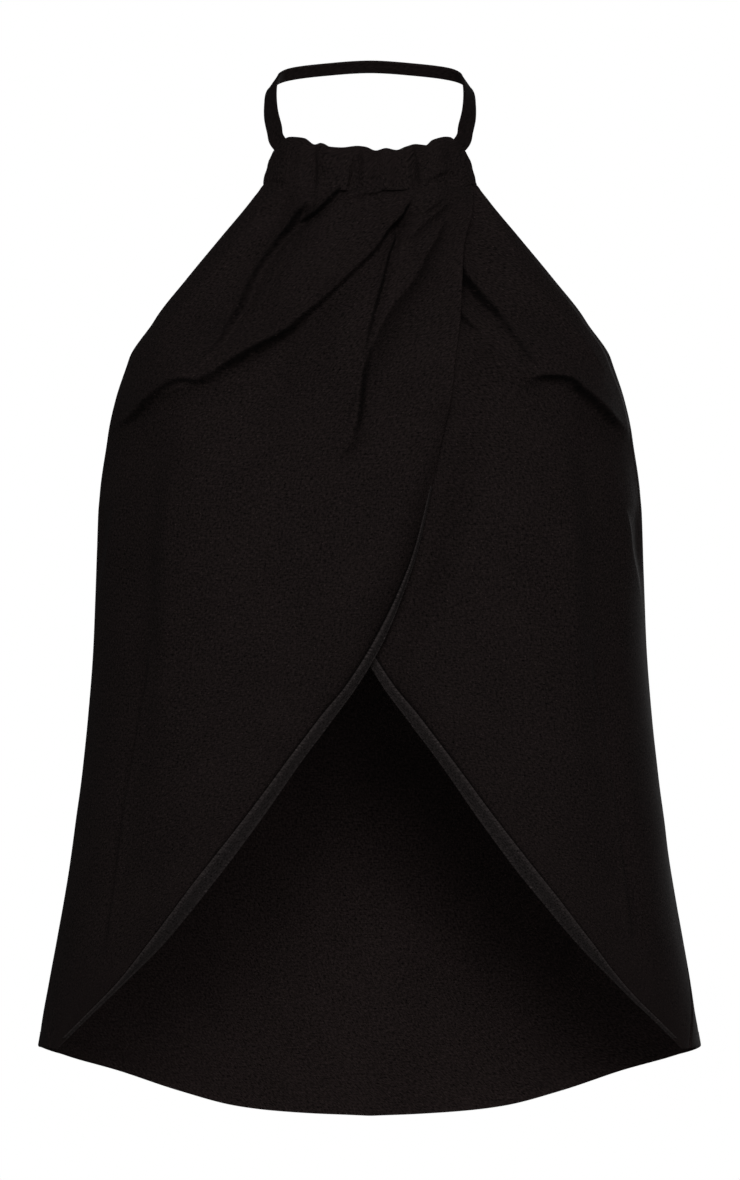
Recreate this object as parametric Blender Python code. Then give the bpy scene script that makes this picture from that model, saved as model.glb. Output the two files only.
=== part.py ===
"""Halter neck top: two crossed front panels hang from a gathered neck casing, over one back panel.

A flat strap runs through the casing and behind the neck, and carries the whole garment. The cloth
keeps the hollow form that it has when worn. Sizes are in millimetres, and MM turns them into
Blender's metres when a piece is made. X runs to the right as seen from the front, Y to the back
and Z up. The origin is the inner face of the strap at the back of the neck.
"""

import bpy
import numpy as np

for item in list(bpy.data.objects):
    bpy.data.objects.remove(item, do_unlink=True)

MM = 0.001

# Cloth and seams
WALL = 1.6
SEAM_GAP = 0.3
LAYER_STEP = 2.5  # the under panel lies this far behind the lowest part of the over panel near it
LAYER_REACH = 7.0  # how near that is
LAYER_RISE = 6.0  # beside the over panel the under one comes out again by at most this
LAYER_BLEND = (5.0, 34.0)  # where that starts beyond the over panel's edge, and how far it takes
BAND_WALL = 2.2
BAND_STEP = 0.7  # a band's face stands out from its panel by this
BAND_RUN_IN = 30.0  # height over which a band's step and flare grow

# Heights
CASING_END_Z = -87.5
CASING_SAG = 7.0  # the casing's lower edge hangs this much lower at the middle
CASING_END_X = 70.0
UNDERARM_Z = -308.0
UNDERARM_TURN = 2.2  # the armhole's edge turns in to the side seam over this last bit of height
HEM_SIDE_Z = -656.0

# The body at each height, from the casing's top edge to the back hem: half an ellipse in front and
# half of one behind, which meet at axis_y. edge_angle is where a front panel's outer edge lies, turned
# from the middle of the front: the armhole, and below the underarm the side seam. squeeze is how far
# the panel's columns near that edge close up, so that those further in run on past the underarm.
SECTION_COLUMNS = ("z", "half_width", "axis_y", "front_y", "back_y", "edge_angle", "squeeze")
SECTION_ROWS = (
    (-56, 73.6, -55.9, -120, 40, 62, 0),
    (-72, 75.9, -56.9, -121, 40, 63, 0),
    (-87, 78.6, -61.3, -122, 40, 66, 0),
    (-97, 87.2, -57.6, -127, 40, 64, 0),
    (-124, 116.0, -42.0, -138, 40, 60, 0),
    (-150, 143.5, -28.0, -149, 40, 58, 0),
    (-177, 166.4, -22.0, -158, 40, 59, 0),
    (-203, 178.0, -29.0, -166, 40, 63.9, 0),
    (-229, 178.2, -44.0, -172, 40, 71.2, 0),
    (-255, 178.3, -53.5, -176, 40, 78, 0),
    (-290, 180.6, -59.0, -180, 40, 84, 0),
    (-305.5, 182.0, -60.0, -181, 40, 84, 0),
    (-308, 182.0, -60.0, -181, 40, 73, 11),
    (-345, 182.8, -60.0, -183, 42, 80, 6),
    (-388, 184.1, -60.0, -185, 44, 86.5, 2),
    (-442, 188.1, -60.0, -187, 47, 89, 0),
    (-522, 197.5, -60.0, -190, 53, 90, 0),
    (-590, 209.0, -60.0, -193, 58, 86, 0),
    (-630, 216.8, -60.0, -194, 61, 79, 0),
    (-660, 222.5, -60.0, -195, 63, 71, 0),
    (-725, 233.0, -60.0, -197, 68, 69, 0),
)

# The over panel's free edge: its outer line, and how wide the band inside that line is, both
# measured across. trough is how far the cloth dips just inside the band, and flare how far the
# band's outer line stands out.
EDGE_COLUMNS = ("z", "x", "band", "trough", "flare")
EDGE_ROWS = (
    (-87, 69.8, 0.0, 0.0, 0.0),
    (-123, 69.0, 0.0, 0.0, 0.5),
    (-164, 64.3, 0.0, 0.0, 1.0),
    (-213, 58.0, 0.0, 0.5, 1.0),
    (-252, 51.1, 0.0, 2.5, 1.0),
    (-291, 42.3, 1.4, 4.5, 1.0),
    (-330, 32.8, 2.6, 6.0, 2.0),
    (-358, 22.4, 4.0, 6.5, 3.0),
    (-387, 9.6, 6.5, 6.0, 4.0),
    (-416, -7.7, 8.0, 4.5, 4.5),
    (-437, -23.1, 10.0, 3.5, 4.5),
    (-467, -45.1, 10.5, 2.5, 4.5),
    (-501, -68.1, 12.3, 2.0, 4.5),
    (-540, -95.9, 14.0, 1.5, 4.5),
    (-581, -129.5, 12.0, 1.0, 4.0),
    (-609, -157.3, 6.5, 1.0, 3.0),
    (-640, -189.3, 3.6, 0.5, 1.0),
    (-656, -205.0, 3.0, 0.0, 0.0),
)
TROUGH_REACH = 22.0
UNDER_TROUGH_TOP = -330.0
BAND_TOP_Z = -309.0
BAND_END_Z = -648.0
CROSSING_Z = -408.0  # the two free edges cross here

# Gathers along the casing: its top edge, and how far the front layer swells or is drawn in.
GATHER_COLUMNS = ("x", "top_z", "swell")
GATHER_ROWS = (
    (-66, -60.0, 0.0),
    (-56, -56.4, 0.9),
    (-47, -57.6, 1.7),
    (-38, -62.6, -1.8),
    (-34, -61.8, 1.1),
    (-28, -64.4, 1.5),
    (-19, -65.2, -0.6),
    (-9, -64.3, -1.7),
    (-3, -65.0, 1.3),
    (4, -67.4, -1.4),
    (11, -65.8, 1.5),
    (18, -66.9, -0.9),
    (25, -64.4, 1.1),
    (32, -62.6, -1.8),
    (39, -63.0, -0.4),
    (45, -58.8, 1.7),
    (54, -56.4, -0.6),
    (66, -60.0, 0.0),
)

RIPPLE_LENGTH = 14.0  # below the casing the swells die out over this
UNDER_RIPPLE = 0.6  # and the under panel has this share of them

# Folds that hang from the casing: start, middle and end of each line, as seen from the front. The
# cloth falls by depth on the line's right-hand side (left-hand if depth is negative), within about
# its width, and comes back over four times as much. A fold with start at 1 begins at full depth.
FOLD_RETURN = 4.0
FOLD_PEAK = 1.87  # makes the fall as deep as the fold's depth
FOLD_RIDGE = 0.3  # share of the depth that stands up along the line
FOLD_COLUMNS = ("x0", "z0", "x1", "z1", "x2", "z2", "depth", "width0", "width1", "start")
OVER_FOLDS = (
    (-14, -90, -66, -128, -97, -206, 6.0, 4.5, 5.5, 0.6),
    (-54, -126, -72, -152, -84, -190, 2.5, 3.0, 3.5, 0.0),
    (17, -111, -60, -198, -159, -251, 9.0, 5.5, 13.0, 0.5),
    (15, -120, -1, -197, -17, -272, 6.0, 5.0, 7.0, 0.5),
    (53, -120, 26, -163, -4, -236, 5.5, 5.0, 8.0, 0.0),
    (48, -90, 32, -106, 15, -116, 4.5, 3.0, 4.0, 0.3),
    (52, -106, 33, -124, 14, -136, 2.0, 4.0, 5.0, 0.0),
    (-34, -130, -42, -150, -52, -168, 1.5, 4.0, 4.0, 0.0),
    (-2, -178, -10, -195, -15, -215, 1.2, 4.0, 4.0, 0.0),
    (-62, -100, -92, -134, -128, -180, 2.0, 6.0, 8.0, 0.3),
)
UNDER_FOLDS = (
    (66, -143, 84, -182, 102, -217, -6.5, 4.0, 5.0, 0.6),
    (98, -212, 126, -222, 159, -251, -7.0, 5.0, 12.0, 0.0),
    (64, -176, 70, -184, 77, -192, -2.0, 3.0, 3.0, 0.0),
    (62, -100, 92, -134, 128, -180, -2.0, 6.0, 8.0, 0.3),
)
# The long drape at each side, given for the left side.
SIDE_FOLDS = ((-140, -300, -148, -440, -171, -607, 4.5, 14.0, 4.0, 0.0),)

# The back hem's dip below its ends: t runs from 0 at the middle to 1 at a side seam
HEM_COLUMNS = ("t", "dip")
HEM_ROWS = (
    (0.0, 62.0),
    (0.07, 60.4),
    (0.15, 57.4),
    (0.22, 53.2),
    (0.32, 42.0),
    (0.46, 25.4),
    (0.57, 16.2),
    (0.64, 11.2),
    (0.82, 3.0),
    (1.0, 0.0),
)

# Soft flutes of the hanging back panel
BACK_FLUTES = 7
BACK_FLUTE_DEPTH = 7.0
BACK_FLUTE_DRIFT = 0.08  # so that they aren't evenly spaced
BACK_TOP_DIP = 8.0

# The neck casing, a tunnel that the strap runs through. Its ends slant: high runs from 0 at the bottom
# of an end to 1 at its top.
CASING_END_COLUMNS = ("high", "x")
CASING_END_ROWS = (
    (0.0, 71.4),
    (0.55, 67.5),
    (0.8, 64.0),
    (1.0, 55.5),
)
CASING_DEPTH = 9.6
CASING_WALL = 1.5
CASING_RING = 12  # points round the tunnel
CASING_STEPS = 46  # stations along it

# The strap's path over one half of the loop, from the back of the neck to the casing and then inside
# the tunnel. lean is how far its top edge leans in towards the neck.
STRAP_WIDTH = 11.0
STRAP_THICKNESS = 2.0
STRAP_PROFILE = ((0.5, 0.0), (0.4, 0.5), (-0.4, 0.5), (-0.5, 0.0), (-0.4, -0.5), (0.4, -0.5))
STRAP_COLUMNS = ("x", "y", "z", "lean")
STRAP_ROWS = (
    (0.0, 0.6, 0.8, 50),
    (32.0, -1.0, -1.5, 50),
    (52.0, -7.0, -5.0, 48),
    (61.0, -17.0, -9.5, 40),
    (64.8, -33.0, -17.0, 33),
    (66.2, -50.0, -27.0, 36),
    (65.6, -66.0, -38.5, 50),
    (63.4, -79.0, -49.5, 60),
    (61.6, -85.8, -57.5, 40),
)
TUNNEL_COLUMNS = ("x", "z", "lean")
TUNNEL_ROWS = (
    (58.6, -65.5, 1),
    (51.0, -71.0, 0),
    (40.0, -73.5, 0),
    (27.0, -74.5, 0),
    (13.0, -75.0, 0),
    (0.0, -75.1, 0),
)
STRAP_STEPS = 84

# Rows of the cloth panels, shared so that both sides of a side seam have the same points
ARMHOLE_ROWS = 28
SEAM_ROWS = 18
MIDDLE_CROWDING = 0.3  # a front's columns are closer together along its middle, where the folds are
SQUEEZE_SHARE = 0.35  # share of its columns that close up beside the side seam
OVER_COLUMNS = 36
UNDER_COLUMNS = 23
BACK_COLUMNS = 30
BAND_ROWS = 30


def table(columns, rows):
    """The rows as one array for each named column."""
    return dict(zip(columns, np.array(rows, float).T))


SECTION = table(SECTION_COLUMNS, SECTION_ROWS)
EDGE = table(EDGE_COLUMNS, EDGE_ROWS)
GATHER = table(GATHER_COLUMNS, GATHER_ROWS)
HEM = table(HEM_COLUMNS, HEM_ROWS)
CASING_END = table(CASING_END_COLUMNS, CASING_END_ROWS)


def smooth(at, known, values):
    """Values at the given places, on a curve through the known ones that never overshoots them."""
    step = np.diff(known)
    slope = np.diff(values) / step
    product = slope[1:] * slope[:-1]
    inner = np.where(product > 0, 2 * product / (slope[1:] + slope[:-1] + 1e-12), 0)
    tangent = np.concatenate([slope[:1], inner, slope[-1:]])
    at = np.clip(at, known[0], known[-1])
    i = np.clip(np.searchsorted(known, at, side="right") - 1, 0, len(step) - 1)
    t = (at - known[i]) / step[i]
    rise = t * t * (3 - 2 * t)
    curve = values[i] * (1 - rise) + values[i + 1] * rise
    return curve + step[i] * (t * (1 - t) ** 2 * tangent[i] - t * t * (1 - t) * tangent[i + 1])


def section(name, z):
    return smooth(-np.asarray(z, float), -SECTION["z"], SECTION[name])


def edge(name, z):
    return smooth(-np.asarray(z, float), -EDGE["z"], EDGE[name])


def gather(name, x):
    return smooth(np.asarray(x, float), GATHER["x"], GATHER[name])


def eased(t):
    """0 below 0, 1 above 1, and a soft step between."""
    t = np.clip(t, 0, 1)
    return t * t * (3 - 2 * t)


def casing_bottom(x):
    return CASING_END_Z - CASING_SAG * (1 - np.clip(np.abs(x) / CASING_END_X, 0, 1) ** 2)


def front_point(q, z):
    """The front's smooth form: q runs from -1 at the left edge, over 0 at the middle, to 1."""
    angle = q * np.radians(section("edge_angle", z))
    depth = section("axis_y", z) - section("front_y", z)
    x, y = section("half_width", z) * np.sin(angle), section("axis_y", z) - depth * np.cos(angle)
    return np.stack(np.broadcast_arrays(x, y, z), axis=-1)


def front_q(x, z):
    """The q of a place on the front that is seen at x."""
    return np.arcsin(np.clip(x / section("half_width", z), -1, 1)) / np.radians(section("edge_angle", z))


def back_point(t, z):
    """The back's smooth form: t runs from -1 at the right side seam to 1 at the left one."""
    angle = t * (np.pi - np.radians(section("edge_angle", z)))
    end_y = np.where(np.abs(angle) < np.pi / 2, section("back_y", z), section("front_y", z))
    depth = np.abs(end_y - section("axis_y", z))
    x, y = -section("half_width", z) * np.sin(angle), section("axis_y", z) + depth * np.cos(angle)
    return np.stack(np.broadcast_arrays(x, y, z), axis=-1)


def outward(points):
    """The level direction out of the body, the same for every layer that lies at a point."""
    x, y, z = np.moveaxis(points, -1, 0)
    end_y = np.where(y < section("axis_y", z), section("front_y", z), section("back_y", z))
    depth = end_y - section("axis_y", z)
    out_y = (y - section("axis_y", z)) / depth**2
    out = np.stack([x / section("half_width", z) ** 2, out_y, np.zeros_like(x)], axis=-1)
    return out / np.linalg.norm(out, axis=-1, keepdims=True)


def fold_depth(x, z, fold):
    """How far one fold moves the cloth at (x, z), inwards negative."""
    f = dict(zip(FOLD_COLUMNS, fold))
    t = np.linspace(0, 1, 25)
    line_x = (1 - t) * (1 - 2 * t) * f["x0"] + 4 * t * (1 - t) * f["x1"] + t * (2 * t - 1) * f["x2"]
    line_z = (1 - t) * (1 - 2 * t) * f["z0"] + 4 * t * (1 - t) * f["z1"] + t * (2 * t - 1) * f["z2"]
    ax, az, bx, bz = line_x[:-1], line_z[:-1], np.diff(line_x), np.diff(line_z)
    px, pz = np.asarray(x)[..., None] - ax, np.asarray(z)[..., None] - az
    along = np.clip((px * bx + pz * bz) / (bx**2 + bz**2), 0, 1)
    away = np.hypot(px - along * bx, pz - along * bz)
    nearest = np.argmin(away, axis=-1)[..., None]
    at = np.take_along_axis(t[:-1] + along * t[1], nearest, -1)[..., 0]
    cross = np.take_along_axis(bx * pz - bz * px, nearest, -1)[..., 0]
    away = np.take_along_axis(away, nearest, -1)[..., 0]
    side = np.sign(cross) * np.sign(f["depth"])  # 1 on the side where the cloth falls
    width = f["width0"] + (f["width1"] - f["width0"]) * at
    fall = (1 - np.exp(-away / width)) * np.exp(-away / (FOLD_RETURN * width)) * FOLD_PEAK
    ridge = FOLD_RIDGE * np.exp(-((away / (2 * width)) ** 2))
    taper = np.minimum(f["start"] + (1 - f["start"]) * eased(at / 0.3), eased((1 - at) / 0.45))
    fade = np.exp(-((away / (9 * width)) ** 2))
    return abs(f["depth"]) * taper * fade * (ridge - np.where(side > 0, fall, 0))


def gather_ripple(x, z):
    """The gathers run on below the casing and die out."""
    below = np.maximum(casing_bottom(x) - z, 0)
    return gather("swell", x) * np.exp(-below / RIPPLE_LENGTH)


def over_form(x, z):
    """How far the over panel stands out from the smooth form at (x, z)."""
    moved = gather_ripple(x, z)
    for fold in OVER_FOLDS + SIDE_FOLDS:
        moved = moved + fold_depth(x, z, fold)
    inside = np.maximum(edge("x", z) - edge("band", z) - x, 0)
    return moved - edge("trough", z) * np.exp(-inside / TROUGH_REACH)


def mirrored(fold):
    x0, z0, x1, z1, x2, z2, depth, *rest = fold
    return (-x0, z0, -x1, z1, -x2, z2, -depth, *rest)


def under_form(x, z):
    """The under panel follows the over panel behind it, then comes out to its own form beside it."""
    own = gather_ripple(x, z) * UNDER_RIPPLE
    for fold in UNDER_FOLDS + tuple(mirrored(fold) for fold in SIDE_FOLDS):
        own = own + fold_depth(x, z, fold)
    inside = np.maximum(x + edge("x", z) - edge("band", z), 0)
    own = own - edge("trough", z) * np.exp(-inside / TROUGH_REACH) * eased((UNDER_TROUGH_TOP - z) / 60)
    over_x = edge("x", z)
    near = (-LAYER_REACH, 0, LAYER_REACH)
    over = [over_form(np.minimum(x + dx, over_x), z + dz) for dx in near for dz in near]
    behind = np.min(over, axis=0) - LAYER_STEP
    start, length = LAYER_BLEND
    return behind + (np.minimum(own, behind + LAYER_RISE) - behind) * eased((x - over_x - start) / length)


def make_body(name, points, faces, colour):
    """One closed object in metres, with its own material."""
    mesh = bpy.data.meshes.new(name)
    mesh.from_pydata((np.asarray(points) * MM).tolist(), [], [list(map(int, face)) for face in faces])
    mesh.validate()
    mesh.shade_smooth()
    mesh.set_sharp_from_angle(angle=np.radians(50))
    piece = bpy.data.objects.new(name, mesh)
    bpy.context.collection.objects.link(piece)
    material = bpy.data.materials.new(name)
    material.use_nodes = True
    shader = material.node_tree.nodes["Principled BSDF"]
    shader.inputs["Base Color"].default_value = (*colour, 1)
    shader.inputs["Roughness"].default_value = 0.85
    shader.inputs["Metallic"].default_value = 0.0
    mesh.materials.append(material)
    return piece


def make_wall(name, outer, inner, colour):
    """A wall between two grids of points that run down and then across, closed along its rim."""
    rows, columns, _ = outer.shape
    index = np.arange(rows * columns).reshape(rows, columns)
    under = index + rows * columns
    faces = []
    for i in range(rows - 1):
        for j in range(columns - 1):
            a, b, c, d = index[i, j], index[i + 1, j], index[i + 1, j + 1], index[i, j + 1]
            faces.append((a, b, c, d))
            faces.append((under[i, j], under[i, j + 1], under[i + 1, j + 1], under[i + 1, j]))
    rim = [*index[0, ::-1], *index[1:, 0], *index[-1, 1:], *index[-2:0:-1, -1]]
    for first, second in zip(rim, rim[1:] + rim[:1]):
        faces.append((first, first + rows * columns, second + rows * columns, second))
    make_body(name, np.concatenate([outer.reshape(-1, 3), inner.reshape(-1, 3)]), faces, colour)


def seam_levels():
    """Heights of the rows along a side seam, from the underarm to the hem."""
    return UNDERARM_Z + (HEM_SIDE_Z - UNDERARM_Z) * np.linspace(0, 1, SEAM_ROWS + 1)


def front_levels():
    """Heights of a front's rows, closer together near the top where the folds are."""
    t = np.linspace(0, 1, ARMHOLE_ROWS)
    top = CASING_END_Z - SEAM_GAP
    low = UNDERARM_Z + UNDERARM_TURN
    return np.concatenate([top + (low - top) * (0.7 * t + 0.3 * t * t), seam_levels()])


def front_grid(columns):
    """(q, z) of the over panel's points. Its twin has the same ones with q turned round."""
    level = front_levels()[:, None]
    across = np.linspace(0, 1, columns + 1)[None, :]
    across = across + MIDDLE_CROWDING * np.sin(2 * np.pi * across) / (2 * np.pi)
    gap_q = SEAM_GAP / 200
    banded = level < BAND_TOP_Z + 2
    free_x = edge("x", level) - np.where(banded, edge("band", level) + SEAM_GAP * 1.5, 0)
    free_q = np.maximum(front_q(free_x, level), -1 + 6 * gap_q)
    squeeze = section("squeeze", level) / section("edge_angle", level)
    q = -1 + gap_q + across * (free_q + 1 - gap_q) - squeeze * (1 - across) * eased(across / SQUEEZE_SHARE)
    x = front_point(q, level)[..., 0]
    sag = casing_bottom(x) - CASING_END_Z
    return q, level + sag * np.exp(-(CASING_END_Z - level) / 30)


def make_front(name, columns, side, form, colour):
    q, z = front_grid(columns)
    base = front_point(q, z)
    base[..., 0] *= side
    if side < 0:
        base = base[:, ::-1]
    out = outward(base)
    moved = form(base[..., 0], base[..., 2])[..., None]
    make_wall(name, base + out * moved, base + out * (moved - WALL), colour)


def make_band(name, side, form, lip_top, colour):
    """The narrow band along a front's free edge. Its outer line flares out below lip_top."""
    level = np.linspace(BAND_TOP_Z, BAND_END_Z, BAND_ROWS + 1)[:, None]
    across = np.linspace(0, 1, 3)[None, :]
    x = edge("x", level) - edge("band", level) * (1 - across)
    base = front_point(front_q(x, level), np.broadcast_to(level, x.shape))
    base[..., 0] *= side
    line_x = (edge("x", level) - edge("band", level)) * side
    lip = (BAND_STEP + edge("flare", level) * across) * eased((lip_top - level) / BAND_RUN_IN)
    out = outward(base)
    moved = (form(line_x, level) + lip)[..., None]
    outer, inner = base + out * moved, base + out * (moved - BAND_WALL)
    if side < 0:
        outer, inner = outer[:, ::-1], inner[:, ::-1]
    make_wall(name, outer, inner, colour)


def make_back(colour):
    """The back panel, from a turned top edge at the underarm to a hem that dips at the middle."""
    t = np.linspace(-1, 1, BACK_COLUMNS + 1)[None, :]
    middle = np.cos(t * np.pi / 2) ** 2
    level = seam_levels()[:, None]
    down = (UNDERARM_Z - level) / (UNDERARM_Z - HEM_SIDE_Z)
    hem = smooth(np.abs(t), HEM["t"], HEM["dip"])
    z = level - BACK_TOP_DIP * middle * (1 - down) - hem * down
    base = back_point(t, z)
    flute = np.cos(t * np.pi * BACK_FLUTES / 2 * (1 + BACK_FLUTE_DRIFT * np.sin(3 * t))) * middle**0.5
    uneven = 0.8 + 0.2 * np.sin(5 * t + 1)
    moved = (BACK_FLUTE_DEPTH * flute * uneven * eased(down))[..., None]
    out = outward(base)
    make_wall("back", base + out * moved, base + out * (moved - WALL), colour)


def casing_ring(along, wall):
    """The tunnel's points round each station, drawn in by the wall thickness for its hollow."""
    around = np.linspace(0, 2 * np.pi, CASING_RING, endpoint=False)[None, :]
    cosine, sine = np.cos(around), np.sin(around)
    high = (np.sign(sine) * np.abs(sine) ** 0.75 + 1) / 2
    end_x = np.interp(high, CASING_END["high"], CASING_END["x"])
    x = along * end_x
    top, bottom = gather("top_z", x) - wall, casing_bottom(x) + wall
    z = bottom + (top - bottom) * high
    base = front_point(front_q(x, z), z)
    half = CASING_DEPTH / 2 - wall
    across = np.sign(cosine) * np.abs(cosine) ** 0.6
    swell = gather("swell", x) * across
    return base + outward(base) * (half * across + swell - CASING_DEPTH / 2)[..., None]


def make_casing(colour):
    """A flattened, gathered tube that is open at both ends."""
    along = np.linspace(-1, 1, CASING_STEPS + 1)[:, None]
    outside, inside = casing_ring(along, 0.0), casing_ring(along, CASING_WALL)
    count = outside.shape[0] * CASING_RING
    index = np.arange(count).reshape(-1, CASING_RING)
    faces = []
    for i in range(CASING_STEPS):
        for j in range(CASING_RING):
            k = (j + 1) % CASING_RING
            faces.append((index[i, j], index[i + 1, j], index[i + 1, k], index[i, k]))
            inward = (index[i, j], index[i, k], index[i + 1, k], index[i + 1, j])
            faces.append(tuple(count + n for n in inward))
    for row, order in ((0, 1), (-1, -1)):
        for j in range(CASING_RING):
            k = (j + 1) % CASING_RING
            a, b = index[row, j], index[row, k]
            faces.append((a, b, b + count, a + count)[::order])
    points = np.concatenate([outside.reshape(-1, 3), inside.reshape(-1, 3)])
    make_body("neck_casing", points, faces, colour)


def strap_path():
    """The strap's whole loop: points on its middle line and the lean of the band at each."""
    inside = table(TUNNEL_COLUMNS, TUNNEL_ROWS)
    base = front_point(front_q(inside["x"], inside["z"]), inside["z"])
    middle = base - outward(base) * (CASING_DEPTH / 2)
    right = np.concatenate([np.array(STRAP_ROWS), np.column_stack([middle, inside["lean"]])])
    left = right[-2:0:-1] * (-1, 1, 1, 1)
    knots = np.concatenate([right, left])
    count = len(knots)
    s = np.linspace(0, count, STRAP_STEPS, endpoint=False)
    i, t = s.astype(int), (s % 1)[:, None]
    before, start, end, after = (knots[(i + n) % count] for n in (-1, 0, 1, 2))
    return 0.5 * (
        2 * start
        + (end - before) * t
        + (2 * before - 5 * start + 4 * end - after) * t**2
        + (3 * start - before - 3 * end + after) * t**3
    )


def make_strap(colour):
    """A flat band swept round the loop, its edges slightly rounded."""
    path = strap_path()
    middle, lean = path[:, :3], np.radians(path[:, 3])[:, None]
    along = np.roll(middle, -1, axis=0) - np.roll(middle, 1, axis=0)
    along /= np.linalg.norm(along, axis=1, keepdims=True)
    up = np.array([0, 0, 1.0]) - along * along[:, 2:]
    up /= np.linalg.norm(up, axis=1, keepdims=True)
    inward = np.cross(along, up)
    wide = np.cos(lean) * up + np.sin(lean) * inward
    flat = np.cross(along, wide)
    ring = [middle + wide * STRAP_WIDTH * w + flat * STRAP_THICKNESS * h for w, h in STRAP_PROFILE]
    rings = np.stack(ring, axis=1)
    count = len(STRAP_PROFILE)
    index = np.arange(STRAP_STEPS * count).reshape(STRAP_STEPS, count)
    faces = []
    for i in range(STRAP_STEPS):
        n = (i + 1) % STRAP_STEPS
        for j in range(count):
            k = (j + 1) % count
            faces.append((index[i, j], index[i, k], index[n, k], index[n, j]))
    make_body("halter_strap", rings.reshape(-1, 3), faces, colour)


CLOTH = (0.012, 0.010, 0.010)
CLOTH_BAND = (0.020, 0.016, 0.016)
make_front("front_over", OVER_COLUMNS, 1, over_form, CLOTH)
make_front("front_under", UNDER_COLUMNS, -1, under_form, CLOTH)
make_back(CLOTH)
make_casing(CLOTH)
make_strap(CLOTH_BAND)
make_band("over_edge_binding", 1, over_form, BAND_TOP_Z + 30, CLOTH_BAND)
make_band("under_edge_binding", -1, under_form, CROSSING_Z, CLOTH_BAND)
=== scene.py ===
"""A halter neck top in black slubby linen, in the form that it has when someone wears it.

The pieces follow in the order in which the top is sewn: the two crossed fronts and their edge bands, the
back, the gathered neck casing and the strap, and then the studio. Sizes are in millimetres, and MM
turns them into metres. X runs to the right as seen from the front, Y to the back and Z up.
"""

import bpy
import numpy as np
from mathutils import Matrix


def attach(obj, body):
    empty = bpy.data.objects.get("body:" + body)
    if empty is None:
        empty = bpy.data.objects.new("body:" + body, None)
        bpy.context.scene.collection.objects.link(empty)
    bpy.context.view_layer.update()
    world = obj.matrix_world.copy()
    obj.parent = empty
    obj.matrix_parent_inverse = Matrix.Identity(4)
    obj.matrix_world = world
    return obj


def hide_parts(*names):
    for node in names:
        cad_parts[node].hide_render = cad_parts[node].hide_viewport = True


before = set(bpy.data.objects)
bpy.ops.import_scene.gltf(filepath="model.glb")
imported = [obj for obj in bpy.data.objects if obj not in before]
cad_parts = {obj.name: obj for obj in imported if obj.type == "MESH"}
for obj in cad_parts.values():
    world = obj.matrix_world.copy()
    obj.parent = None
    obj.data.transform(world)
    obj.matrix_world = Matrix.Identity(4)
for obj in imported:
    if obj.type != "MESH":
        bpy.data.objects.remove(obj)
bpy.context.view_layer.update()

# The over front, the top's left half: one panel of black linen, gathered into the neck casing and
# crossed over the other front as far as the right side of the neck. Its armhole is a narrow turned
# hem, and it is sewn to the back down the left side seam.

MM = 0.001
CLOTH_THICK = 0.9
HEM_THICK = 1.6  # where the cloth is turned in twice
ARMHOLE_HEM = 7.0
HEM_GROOVE = (0.3, 0.9)  # how deep and wide the stitches draw a hem in
STITCH_INSET = 1.0  # from a hem's line
FACING = 12.0  # the free edge is turned in by this much
SEAM_ROUND = (2.4, 1.7)  # a panel's edge turns in over that far, by that much
ARMHOLE_TURN = 0.6
FREE_ROUND = (1.4, 0.8)
TOP_ROUND = (2.0, 0.8)
HEM_WEAR = (0.5, 1.5)  # how rubbed an edge is, and how far in
FREE_WEAR = 1.2
CASING_END_Z = -87.5
CASING_END_X = 70.0
CASING_SAG = 7.0  # at the casing's middle
SAG_REACH = 30.0  # the panel's rows sag with it down to here
UNDERARM_Z = -308.0
UNDERARM_TURN = 2.2
UNDERARM_EASE = 6.0  # the hem begins over this much
HEM_SIDE_Z = -656.0
FRONT_COLUMNS = 227
ARMHOLE_ROWS = 191
ARMHOLE_START = 2.5  # its rows start this far below the casing's end
ARMHOLE_CROWDING = 0.3  # and are closer together there
SEAM_ROWS = 110
EDGE_SHARES = (0.0, 0.0012, 0.0028, 0.005, 0.0085)  # of a panel's width, where its edge rounds
INNER_SHARE = 0.013  # where its even columns start
LEAST_Q = -0.995  # the free edge ends just short of the side seam
TOP_ROWS = (1.8, 0.7, 0.0, -0.8, -1.8)  # above a panel's top edge, where that turns in

# The body at each height: half an ellipse in front and half of one behind, which meet at axis_y.
# edge_angle is where the front's outer edge lies, turned from the middle of the front.
SECTION_COLUMNS = ("z", "half_width", "axis_y", "front_y", "back_y", "edge_angle")
SECTION_ROWS = (
    (-56, 73.6, -55.9, -120, 40, 62),
    (-72, 75.9, -56.9, -121, 40, 63),
    (-87, 78.6, -61.3, -122, 40, 66),
    (-97, 87.2, -57.6, -127, 40, 64),
    (-124, 116, -42, -138, 40, 60),
    (-150, 143.5, -28, -149, 40, 58),
    (-177, 166.4, -22, -158, 40, 59),
    (-203, 178, -29, -166, 40, 63.9),
    (-229, 178.2, -44, -172, 40, 71.2),
    (-255, 178.3, -53.5, -176, 40, 78),
    (-290, 180.6, -59, -180, 40, 84),
    (-308, 181.9, -60, -181.05, 40, 84.5),
    (-345, 182.8, -60, -183, 42, 85.5),
    (-388, 184.1, -60, -185, 44, 87.5),
    (-442, 188.1, -60, -187, 47, 89),
    (-522, 197.5, -60, -190, 53, 90),
    (-590, 209, -60, -193, 58, 86),
    (-630, 216.8, -60, -194, 61, 79),
    (-660, 222.5, -60, -195, 63, 71),
    (-725, 233, -60, -197, 68, 69),
)

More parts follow.
